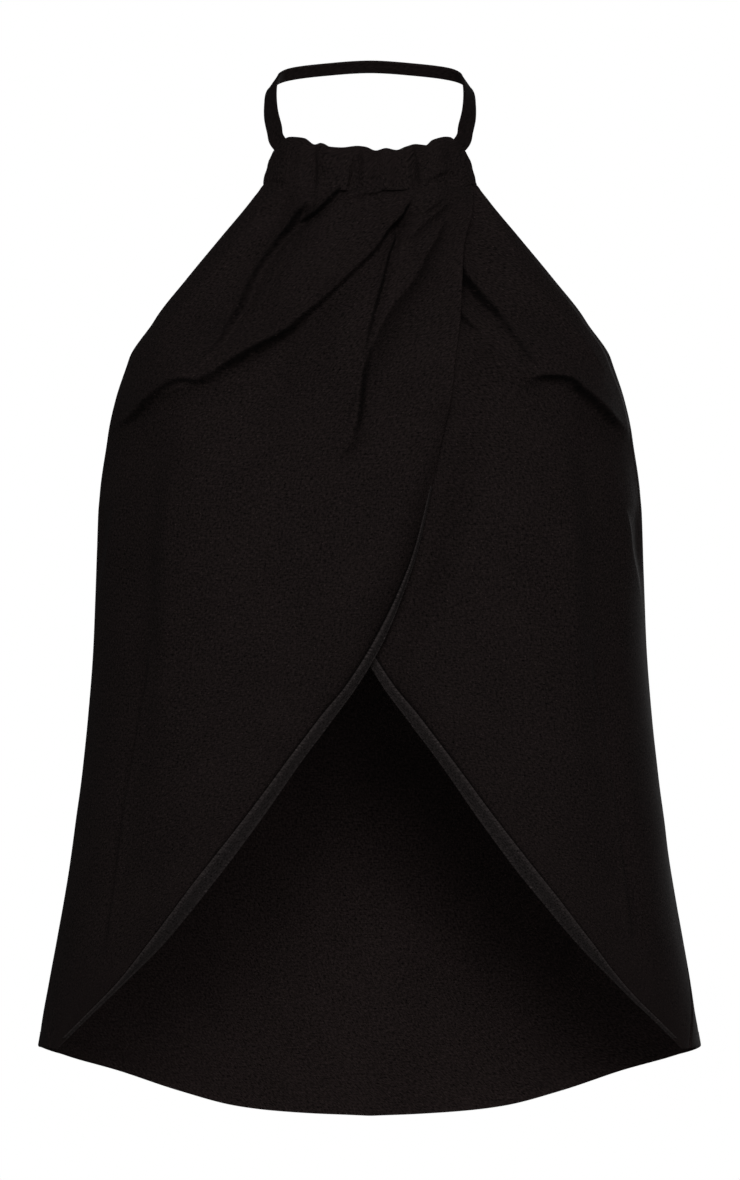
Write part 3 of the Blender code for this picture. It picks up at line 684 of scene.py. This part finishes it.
black_linen = linen("black_linen", colour=(0.0123, 0.0086, 0.0083), wear_and_light_gain=0.5)
thread = linen("sewing_thread", colour=(0.024, 0.018, 0.0175), wear_and_light_gain=0.0)
over_front, over_hem_line = make_front(
    "over_front_cloth", black_linen, crowding=0.0, side=1, form=over_form, creases=OVER_CREASES
)
over_stitches = sew("over_armhole_stitches", [over_hem_line], thread)
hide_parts("front_over")

# The under front, the top's right half: the same panel the other way round. It lies behind the over
# front as far as the left side of the neck, and comes out beside it with folds of its own.

LAYER_STEP = 2.5  # it lies this far behind the lowest part of the over front near it
LAYER_GRID = 2.0
LAYER_REACH = 3  # how near that is, in steps of the grid
LAYER_X = np.arange(-230, 80, LAYER_GRID)
LAYER_Z = np.arange(-664, -76, LAYER_GRID)
LAYER_BLEND = (3.0, 30.0)  # it comes out this far beyond the over front's edge, over this distance
LAYER_SHARES = (0.1, 0.7)  # the most that each may be of the way to the armhole
LAYER_END = 1.001  # the grid's end lies in its last cell
UNDER_RIPPLE = 0.6  # the share of the gathers that shows on it
UNDER_WAVE = 2.1
UNDER_TROUGH = (-330.0, 60.0)  # where the dip beside its band begins, and over how much
UNDER_CROWDING = 0.4  # its columns are closer together towards its free edge
UNDER_FOLDS = (
    ((97, -215, 0, 5), (107, -217, -6, 5), (118, -219, -8, 5.5), (128, -224, -8, 6),
     (145, -236, -7, 7), (162, -247, -4, 7), (179, -254, 0, 7)),
    ((76, -119, 0, 7), (85, -133, -7, 7.5), (95, -145, -7.8, 8), (104, -155, -7, 8),
     (114, -167, -5.9, 8), (125, -180, -5, 8), (137, -195, -3.4, 8), (151, -213, 0, 8)),
    ((81, -195, 0, 5), (89, -206, -4, 6), (97, -217, -4, 6), (108, -227, 0, 6)),
)
UNDER_CREASES = (
    ((68, -132, 0, 2.2), (69, -139, -7, 2.6), (71, -147, -11, 3), (76, -156, -11, 3),
     (81, -166, -9, 2.8), (85, -174, -7, 2.6), (88, -181, -4.5, 2.4), (91, -189, -4.5, 2.2),
     (95, -197, -4.5, 2.2), (99, -205, -3.6, 2.2), (103, -214, 0, 2.2)),
    ((100, -218, 0, 1.9), (107, -217, -6, 2.2), (114, -217, -7.7, 2.5), (121, -218, -7.7, 2.7),
     (128, -224, -6.6, 2.4), (135, -229, -6, 2.3), (145, -236, -5.4, 2.3), (156, -244, -4.1, 2.3),
     (166, -250, 0, 2.3)),
    ((61, -166, 0, 1.6), (64, -172, -4, 2), (69, -180, -4.4, 2), (77, -189, 0, 2)),
)
UNDER_RIDGES = (
    ((67, -184, 0, 18, 45), (84, -201, 9, 20, 45), (101, -214, 14, 22, 45), (117, -219, 16, 24, 40),
     (133, -228, 13, 25, 32), (147, -236, 8, 25, 26), (161, -243, 3, 24, 22), (176, -251, 0, 24, 20)),
)

lowest_over = lowest_near(over_form(LAYER_X[None, :], LAYER_Z[:, None]), LAYER_REACH)


def behind_over(x, z):
    """How far out the under front may stand where the over front lies on it."""
    column = np.clip((x - LAYER_X[0]) / LAYER_GRID, 0, len(LAYER_X) - LAYER_END)
    row = np.clip((z - LAYER_Z[0]) / LAYER_GRID, 0, len(LAYER_Z) - LAYER_END)
    j, i = column.astype(int), row.astype(int)
    u, v = column - j, row - i
    low = lowest_over[i, j] * (1 - u) + lowest_over[i, j + 1] * u
    high = lowest_over[i + 1, j] * (1 - u) + lowest_over[i + 1, j + 1] * u
    return low * (1 - v) + high * v - LAYER_STEP


def under_form(x, z):
    """The under front follows the over front behind it, then comes out to its own form beside it."""
    x, z = np.broadcast_arrays(x, z)
    own = gather_ripple(x, z) * UNDER_RIPPLE + unevenness(x, z, UNDER_WAVE)
    own = own + folded(-x, z, SIDE_FOLDS, ridges=SIDE_RIDGES)
    inside = np.maximum(x + edge("x", z) - edge("band", z), 0)
    begun = eased((UNDER_TROUGH[0] - z) / UNDER_TROUGH[1])
    own = own - edge("trough", z) * np.exp(-inside / TROUGH_REACH) * begun
    over_x = edge("x", z)
    behind = behind_over(np.minimum(x, over_x), z)
    side_x = section("half_width", z) * np.sin(np.radians(section("edge_angle", z)))
    room = side_x - over_x
    start = np.minimum(LAYER_BLEND[0], LAYER_SHARES[0] * room)
    length = np.minimum(LAYER_BLEND[1], LAYER_SHARES[1] * room)
    out = eased((x - over_x - start) / length)
    falls = folded(x, z, UNDER_FOLDS, UNDER_CREASES, UNDER_RIDGES)
    moved = behind + (own - behind) * out + np.where(falls < 0, falls, falls * out)
    return moved * np.where(x > 0, calm(x, z), 1)


under_front, under_hem_line = make_front(
    "under_front_cloth", black_linen, UNDER_CROWDING, side=-1, form=under_form, creases=UNDER_CREASES
)
under_stitches = sew("under_armhole_stitches", [under_hem_line], thread)
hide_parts("front_under")

# The edge bands: a strip of the same linen, folded in half lengthwise, pressed and sewn along each free
# edge. A thin ridge of the fold stands along the seam, and the strip's face flares out below it.

BAND_TOP_Z = -288.0
CROSSING_Z = -408.0
BAND_STATIONS = 260
BAND_RUN_IN = 30.0  # the flare grows over this much
FULL_WIDTH = 5.0  # a narrower band's insets shrink
FULL_LIFT = (0.35, 6.0)  # and so do its lifts: the least share, and the width that adds a whole one
BAND_CLOTH = 12.0  # the flat strip's width
# A band's outline, across it and then back underneath: share is how far across a point lies, inset how
# many millimetres further, lift how far it stands out from the front, and the last column how much lighter
# it is painted: a painted highlight along the ridge of the fold and painted shade on the face below it
BAND_COLUMNS = ("share", "inset", "lift", "worn")
BAND_ROWS = (
    (0, -0.5, -1.2, 0),
    (0, -0.1, 0.4, 0.4),
    (0, 0.4, 1.25, 1.8),
    (0, 1, 1.35, 1.9),
    (0, 1.6, 1, 0.9),
    (0.2, 1.5, 0.65, -0.1),
    (0.4, 0.9, 0.6, -0.3),
    (0.6, 0.5, 0.65, -0.3),
    (0.8, 0.1, 0.7, -0.1),
    (1, -1, 0.75, 0.2),
    (1, -0.4, 0.6, 0.5),
    (1, 0, 0.1, 0.8),
    (1, -0.1, -0.5, 0.3),
    (1, -0.6, -0.9, 0),
    (0.7, 0, -1.1, 0),
    (0.3, 0, -1.3, 0),
    (0, 0.3, -1.5, 0),
)
BAND = table(BAND_COLUMNS, BAND_ROWS)


def make_band(name, material, side, form, lip_top):
    level = np.linspace(BAND_TOP_Z, BAND_END_Z, BAND_STATIONS)[:, None]
    width = edge("band", level)
    inset = BAND["inset"] * np.minimum(width / FULL_WIDTH, 1)
    x = edge("x", level) - width * (1 - BAND["share"]) + inset
    base = front_point(front_q(x, level), level)
    base[..., 0] *= side
    flare = edge("flare", level) * BAND["share"] * eased((lip_top - level) / BAND_RUN_IN)
    lift = BAND["lift"] * np.minimum(FULL_LIFT[0] + width / FULL_LIFT[1], 1)
    moved = form((edge("x", level) - width) * side, level) + flare + lift
    rings = base + outward(base) * moved[..., None]
    index = closed(numbered(rings))
    points = np.concatenate([rings.reshape(-1, 3), rings[:1].mean(axis=1), rings[-1:].mean(axis=1)])
    first_cap, last_cap = len(points) - 2, len(points) - 1
    faces = grid_faces(index)[:, ::side].tolist()
    for j in range(len(BAND_ROWS)):
        faces.append([int(index[0, j]), int(index[0, j + 1]), first_cap][::side])
        faces.append([int(index[-1, j + 1]), int(index[-1, j]), last_cap][::side])
    run = gathered_length(rings, 0)
    grain = np.stack([BAND["share"] * BAND_CLOTH + run * 0, run], axis=-1).reshape(-1, 2)
    worn = np.broadcast_to(BAND["worn"], rings.shape[:2]).ravel()
    grain = np.concatenate([grain, grain[:2] * 0])
    worn = np.concatenate([worn, (0, 0)])
    return make_piece(name, points, faces, grain, worn, material)


# Painted light: the bands are the same linen painted lighter, for the light that their flared faces catch.
band_linen_painted_light = linen("band_linen_painted_light", colour=(0.0185, 0.0152, 0.0150), wear_and_light_gain=0.45)
lip_top = BAND_TOP_Z + BAND_RUN_IN
over_band = make_band("over_band_cloth", band_linen_painted_light, side=1, form=over_form, lip_top=lip_top)
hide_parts("over_edge_binding")
under_band = make_band("under_band_cloth", band_linen_painted_light, side=-1, form=under_form, lip_top=CROSSING_Z)
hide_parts("under_edge_binding")

# The back: one panel of the same linen between the side seams. Its top edge is turned in straight across
# below the shoulder blades, and its hem is turned up once and stitched, and dips at the middle.

HEM_ROWS = (
    (0, 65), (0.07, 63.4), (0.15, 60), (0.22, 55.2), (0.32, 44), (0.46, 27), (0.57, 17.4), (0.64, 12.2),
    (0.82, 3.6), (1, 0),
)
back_hem = curves(("t", "dip"), HEM_ROWS)
BACK_FLUTES = 7
BACK_FLUTE_DEPTH = 7.0
BACK_FLUTE_DRIFT = (0.08, 3.0)  # how unevenly they are spaced, and how often that changes
BACK_FLUTE_SPREAD = (0.2, 5.0)  # and how uneven their depths are
BACK_WAVE = 3.3
BACK_SEAM_CALM = 20.0  # the waves grow over this much beside a seam
BACK_FOLD_CALM = 4.0  # and the folds over one in so many parts of the back
BACK_TOP_DIP = 8.0
BACK_CORNER = (1.8, 28.0, 14.0)  # the underarm corners are drawn in by that, as far down and across
BACK_ROUND = (1.6, 0.8)
BACK_WEAR = (0.6, 1.5)
BACK_TOP_HEM = 14.0
BACK_HEM = 11.0
BACK_COLUMNS = 230
BACK_ROWS = 170
# Drag lines from the underarms, and soft folds below the top hem and at the hips
BACK_FOLDS = (
    ((-168, -318, 0.6, 4), (-140, -352, 4.5, 5), (-118, -400, 4, 7), (-104, -460, 0, 9)),
    ((170, -320, -0.6, 4), (146, -348, -4, 5), (121, -392, -3.6, 7), (92, -480, 0, 9)),
    ((-60, -330, 0, 5), (-48, -370, 3, 6), (-42, -420, 2, 7), (-44, -470, 0, 8)),
    ((48, -326, 0, 5), (36, -360, -3.2, 6), (33, -416, -2, 7), (38, -476, 0, 8)),
    ((-150, -610, 0, 7), (-140, -560, 3, 6), (-136, -500, 0, 7)),
    ((128, -640, 0, 7), (136, -590, -3.4, 6), (142, -520, 0, 7)),
)


def back_point(t, z):
    """The back's smooth form: t runs from -1 at the right side seam to 1 at the left one."""
    angle = t * (np.pi - np.radians(section("edge_angle", z)))
    end_y = np.where(np.abs(angle) < np.pi / 2, section("back_y", z), section("front_y", z))
    depth = np.abs(end_y - section("axis_y", z))
    x, y = -section("half_width", z) * np.sin(angle), section("axis_y", z) + depth * np.cos(angle)
    return np.stack(np.broadcast_arrays(x, y, z), axis=-1)


def make_back(name, material):
    t = (2 * shares(BACK_COLUMNS) - 1)[None, :]
    middle = np.cos(t * np.pi / 2) ** 2
    down = shares(BACK_ROWS)[:, None]
    level = UNDERARM_Z + (HEM_SIDE_Z - UNDERARM_Z) * down
    z = level - BACK_TOP_DIP * middle * (1 - down) - back_hem("dip", np.abs(t)) * down
    base = back_point(t, z)
    from_left, from_top = gathered_length(base, 1), gathered_length(base, 0)
    from_seam = np.minimum(from_left, from_left[:, -1:] - from_left)
    from_hem = from_top[-1:] - from_top
    drift, often = BACK_FLUTE_DRIFT
    flute = np.cos(t * np.pi * BACK_FLUTES / 2 * (1 + drift * np.sin(often * t))) * middle**0.5
    spread, often = BACK_FLUTE_SPREAD
    uneven = 1 - spread + spread * np.sin(often * t + 1)
    moved = BACK_FLUTE_DEPTH * flute * uneven * eased(down)
    x = base[..., 0]
    moved += folded(x, z, BACK_FOLDS) * eased(middle * BACK_FOLD_CALM)
    moved += unevenness(x, z, BACK_WAVE) * eased(from_seam / BACK_SEAM_CALM)
    corner, down_reach, side_reach = BACK_CORNER
    moved -= corner * np.exp(-from_top / down_reach - from_seam / side_reach)
    moved -= rounded(from_seam, *SEAM_ROUND)
    for away, hem in ((from_top, BACK_TOP_HEM), (from_hem, BACK_HEM)):
        moved -= rounded(away, *BACK_ROUND) + groove(away - hem)
    turned = np.maximum(from_top < BACK_TOP_HEM, from_hem < BACK_HEM)
    thick = CLOTH_THICK + (HEM_THICK - CLOTH_THICK) * turned
    out = outward(base)
    grain = np.stack([from_left, from_top], axis=-1)
    worn = BACK_WEAR[0] * (np.exp(-from_top / BACK_WEAR[1]) + np.exp(-from_hem / BACK_WEAR[1]))
    outer = base + out * moved[..., None]
    inner = base + out * (moved - thick)[..., None]
    lines = []
    for surface in (outer, inner):
        for distance, at in ((from_top, BACK_TOP_HEM - STITCH_INSET), (-from_hem, STITCH_INSET - BACK_HEM)):
            lines.append(line_at(surface.transpose(1, 0, 2), distance.T, at))
    return make_shell(name, outer, inner, 1, grain, worn, material), lines


back, back_lines = make_back("back_cloth", black_linen)
back_stitches = sew("back_hem_stitches", back_lines, thread)
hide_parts("back")

# The neck casing: the fronts' gathered top edges run into this tunnel of the same linen, which is pushed
# together along the strap. Its top edge waves between the gathers and its ends are cut on a slant.

CASING_END = table(("high", "x"), ((0, 71.4), (0.55, 67.5), (0.8, 64), (1, 55.5)))
CASING_DEPTH = 9.6
CASING_WALL = 1.1
CASING_SQUARE = 0.75  # the power that squares its section upwards
CASING_BOXY = (0.2, 0.6)  # and those outwards, in its lower and its upper half
CASING_WAVE = (0.35, 12, 1.3)  # height, length and start
CASING_WEAR = (0.5, 0.25)  # how rubbed its top is, and how far round
CASING_SHIFT = 3.0  # the wall behind has the same creases, the other way round and this far along
CASING_AROUND = 64
CASING_STATIONS = 330
CASING_STITCH_UP = 1.6  # the seam's stitches run this far above the casing's lower edge
# Creases between the gathers
CASING_FOLDS = (
    ((-9, -64, 0, 2), (-11, -71, 1.6, 2.5), (-13, -78, 2.6, 2), (-14, -84, 3.6, 1.8),
     (-15, -90, 3.6, 1.6), (-17, -95, 0, 1.6)),
    ((9, -66, 0.8, 1.5), (8, -70, 1.6, 1.5), (6, -75, 0, 1.5)),
    ((29, -64, 1.4, 3.5), (30, -74, 2, 4), (31, -82, 3.4, 4.4), (32, -90, 3, 4), (32, -95, 0, 4)),
    ((-38, -63, 1, 1.5), (-38, -71, 1.3, 1.5), (-38, -79, 1.6, 1.5), (-40, -87, 1.2, 1.5),
     (-42, -93, 0, 1.5)),
    ((-38, -71, 0, 3), (-32, -77, -1.6, 3), (-25, -82, -1.6, 3), (-18, -88, 0, 3)),
    ((55, -79, 0, 1.5), (51, -80, 2.2, 1.6), (46, -82, 2.6, 1.6), (40, -86, 1.6, 1.6), (36, -90, 0, 1.5)),
    ((8, -86, 0, 3.5), (2, -84, 1.1, 3.5), (-4, -85, 1.3, 3.5), (-10, -88, 0, 3.5)),
    ((-52, -63, 0, 3), (-54, -72, 0.8, 3), (-55, -83, 0.8, 3), (-56, -93, 0, 3)),
    ((-21, -65, 0, 2), (-22, -73, 0.8, 2), (-24, -80, 0, 2)),
    ((19, -66, 0, 2), (18, -74, 0.9, 2.4), (19, -82, 0, 2)),
    ((52, -60, 0, 3), (51, -67, 1, 3), (49, -75, 0, 3)),
)


def casing_ring(along, around, wall):
    """The tunnel's points round each station, drawn in by the wall thickness for its hollow."""
    cosine, sine = np.cos(around), np.sin(around)
    high = (np.sign(sine) * np.abs(sine) ** CASING_SQUARE + 1) / 2
    end_x = np.interp(high, CASING_END["high"], CASING_END["x"])
    x = along * end_x
    top, bottom = gather("top_z", x) - wall, casing_bottom(x) + wall
    z = bottom + (top - bottom) * high
    base = front_point(front_q(x, z), z)
    half = CASING_DEPTH / 2 - wall
    across = np.sign(cosine) * np.abs(cosine) ** np.where(sine < 0, *CASING_BOXY)
    swell = gather("swell", x) + CASING_WAVE[0] * waves(x, z, *CASING_WAVE[1:])
    swell = swell + folded(np.where(cosine > 0, x, -x - CASING_SHIFT), z, CASING_FOLDS)
    return base + outward(base) * (half * across + swell * across - CASING_DEPTH / 2)[..., None]


def make_casing(name, material):
    along = np.linspace(-1, 1, CASING_STATIONS)[:, None]
    around = np.linspace(-np.pi, np.pi, CASING_AROUND, endpoint=False)[None, :]
    outside, inside = casing_ring(along, around, 0.0), casing_ring(along, around, CASING_WALL)
    index, count = closed(numbered(outside)), outside.size // 3
    faces = [grid_faces(index), grid_faces(index + count)[:, ::-1]]
    for row, order in ((0, 1), (-1, -1)):
        a, b = index[row, :-1], index[row, 1:]
        faces.append(np.stack([a, b, b + count, a + count], axis=-1)[:, ::order])
    points = np.concatenate([outside.reshape(-1, 3), inside.reshape(-1, 3)])
    girth = gathered_length(outside, 1)
    grain = np.stack([gathered_length(outside, 0), girth], axis=-1).reshape(-1, 2)
    worn = CASING_WEAR[0] * bell(around - np.pi / 2, CASING_WEAR[1]) + 0 * along
    grain, worn = np.concatenate([grain, grain]), np.concatenate([worn.ravel(), worn.ravel()])
    piece = make_piece(name, points, np.concatenate(faces).tolist(), grain, worn, material)
    half = CASING_AROUND // 2
    lines = []
    for part in (outside[:, half // 2: half + 1], outside[:, half // 2 :: -1]):
        up = part[..., 2] - part[:, :1, 2]
        lines.append(line_at(part, up, CASING_STITCH_UP))
    return piece, lines


casing, casing_lines = make_casing("casing_cloth", black_linen)
casing_stitches = sew("casing_stitches", casing_lines, thread)
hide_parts("neck_casing")

# The halter strap: a strip of the same linen, turned and pressed flat. It runs through the casing and
# behind the neck in one loop, whose ends are joined inside the casing, and it carries the top.

STRAP_WIDTH = 11.0
STRAP_THICKNESS = 2.0
# Its right half, from the back of the neck to the casing: x, y, z and the lean of the band
STRAP_ROWS = (
    (0, 0.6, 0.8, 50), (32, -1, -1.5, 50), (53.5, -7, -5, 46), (62.6, -17, -9.8, 36),
    (66, -33, -17.2, 44), (66.6, -50, -27, 46), (65.8, -66, -38.5, 52), (63.4, -79, -49.5, 60),
    (61.6, -85.8, -57.5, 40),
)
# and then inside the casing: x, z and the lean
TUNNEL_ROWS = ((58.6, -65.5, 1), (51, -71, 0), (40, -73.5, 0), (27, -74.5, 0), (13, -75, 0), (0, -75.1, 0))
STRAP_STATIONS = 420
STRAP_PAINTED_LIGHT = 3.5  # the face on the neck is painted lightest: painted light for a face the lamps reach little, with some wear
# Half of the strap's outline, from the middle of its outer face round to the middle of the face on the
# neck: across, out, and how much lighter it is painted, for wear and for painted light
STRAP_HALF = (
    (0, -0.46, 0), (0.38, -0.4, 0), (0.45, -0.46, 0.3), (0.485, -0.32, 0.6), (0.5, 0, 1),
    (0.485, 0.32, 2), (0.45, 0.46, STRAP_PAINTED_LIGHT), (0.38, 0.4, STRAP_PAINTED_LIGHT), (0.2, 0.44, STRAP_PAINTED_LIGHT),
    (0, 0.46, STRAP_PAINTED_LIGHT),
)
STRAP_PROFILE = STRAP_HALF + tuple((-w, h, rub_and_light) for w, h, rub_and_light in STRAP_HALF[-2:0:-1])


def strap_path():
    """The strap's whole loop: points on its middle line and the lean of the band at each."""
    x, z, lean = np.array(TUNNEL_ROWS).T
    base = front_point(front_q(x, z), z)
    middle = base - outward(base) * (CASING_DEPTH / 2)
    right = np.concatenate([STRAP_ROWS, np.column_stack([middle, lean])])
    left = right[-2:0:-1] * (-1, 1, 1, 1)
    knots = np.roll(np.concatenate([right, left]), len(right) - 1, axis=0)
    count = len(knots)
    s = np.linspace(0, count, STRAP_STATIONS, endpoint=False)
    i, t = s.astype(int), (s % 1)[:, None]
    before, start, end, after = (knots[(i + n) % count] for n in (-1, 0, 1, 2))
    return 0.5 * (
        2 * start
        + (end - before) * t
        + (2 * before - 5 * start + 4 * end - after) * t**2
        + (3 * start - before - 3 * end + after) * t**3
    )


def make_strap(name, material):
    path = strap_path()
    middle, lean = path[:, :3], np.radians(path[:, 3])[:, None]
    along = unit(np.roll(middle, -1, axis=0) - np.roll(middle, 1, axis=0))
    up = unit((0, 0, 1) - along * along[:, 2:])
    wide = np.cos(lean) * up + np.sin(lean) * np.cross(along, up)
    flat = np.cross(along, wide)
    rings = [middle + wide * STRAP_WIDTH * w + flat * STRAP_THICKNESS * h for w, h, _ in STRAP_PROFILE]
    rings = np.stack(rings, axis=1)
    index = closed(numbered(rings))
    index = np.concatenate([index, index[:1]])
    across = np.array([w for w, _, _ in STRAP_PROFILE]) * STRAP_WIDTH
    run = gathered_length(rings, 0)
    grain = np.stack([across + run * 0, run], axis=-1)
    worn = np.broadcast_to([rub_and_light for _, _, rub_and_light in STRAP_PROFILE], rings.shape[:2])
    return make_piece(name, rings, grid_faces(index)[:, ::-1].tolist(), grain, worn, material)


# Painted shade: the strap is the same linen painted darker.
strap_linen_painted_darker = linen("strap_linen_painted_darker", colour=(0.0085, 0.0059, 0.0057), wear_and_light_gain=0.3)
strap = make_strap("strap_cloth", strap_linen_painted_darker)
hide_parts("halter_strap")

# The studio: a plain pale floor well below the hanging top, a white surround and soft lights. The strongest
# stands in front and above, with small ones low, high and at the sides, and one behind for the back.

FLOOR_Z = -1.45
FLOOR_RADIUS = 2.2
FLOOR_SIDES = 96
PAPER = (0.6, 0.6, 0.59, 1)
PAPER_ROUGHNESS = 0.9
SURROUND = (0.12, 0.88)  # how bright it is as a light, and how much brighter it is seen
CAMERA_DISTANCE = 3.0
CAMERA_PLANE_Y = -0.06
CAMERA_Z = -0.355
VIEW_HEIGHT = 0.78667
SENSOR = 36.0
LIGHTS = (
    # name, place, width, power
    ("front", (0.0, -2.95, 0.95), 0.9, 27),
    ("front_low", (0.5, -3.0, 0.2), 0.9, 9.5),
    ("high", (-0.5, -2.1, 1.9), 0.6, 5),
    ("left", (-2.0, -2.1, 0.95), 1.0, 2),
    ("right", (2.0, -2.1, 0.95), 1.0, 2.5),
    ("back_fill", (1.4, 2.4, -0.2), 1.2, 18),
)

bpy.ops.mesh.primitive_circle_add(
    vertices=FLOOR_SIDES, radius=FLOOR_RADIUS, fill_type="NGON", location=(0, 0, FLOOR_Z)
)
floor = bpy.context.object
floor.name = "studio_floor"
paper = bpy.data.materials.new("pale_paper")
paper.use_nodes = True
paper_look = paper.node_tree.nodes["Principled BSDF"].inputs
paper_look["Base Color"].default_value = PAPER
paper_look["Roughness"].default_value = PAPER_ROUGHNESS
floor.data.materials.append(paper)

target = placed("studio_middle", None)
target.location = (0, CAMERA_PLANE_Y, CAMERA_Z)
for name, place, width, power in LIGHTS:
    lamp = bpy.data.lights.new(name, "AREA")
    lamp.size = width
    lamp.energy = power
    stand = placed(name, lamp)
    stand.location = place
    stand.visible_camera = False
    aim = stand.constraints.new("TRACK_TO")
    aim.target = target
    aim.track_axis = "TRACK_NEGATIVE_Z"
    aim.up_axis = "UP_Y"

world = bpy.data.worlds.new("white_surround")
bpy.context.scene.world = world
world.use_nodes = True
world.node_tree.nodes.clear()
sky = Wire(world.node_tree)
seen = sky.node("LightPath", {}, {}, "Is Camera Ray")
brightness = seen * SURROUND[1] + SURROUND[0]
surround = sky.node("Background", {}, {"Color": (1, 1, 1, 1), "Strength": brightness})
sky.node("OutputWorld", {}, {"Surface": surround})

lens = bpy.data.cameras.new("studio_camera")
lens.sensor_width = SENSOR
lens.lens = SENSOR * CAMERA_DISTANCE / VIEW_HEIGHT
camera = placed("studio_camera", lens)
camera.location = (0, CAMERA_PLANE_Y - CAMERA_DISTANCE, CAMERA_Z)
camera.rotation_euler = (np.pi / 2, 0, 0)
bpy.context.scene.camera = camera
bpy.context.scene.view_settings.view_transform = "Standard"
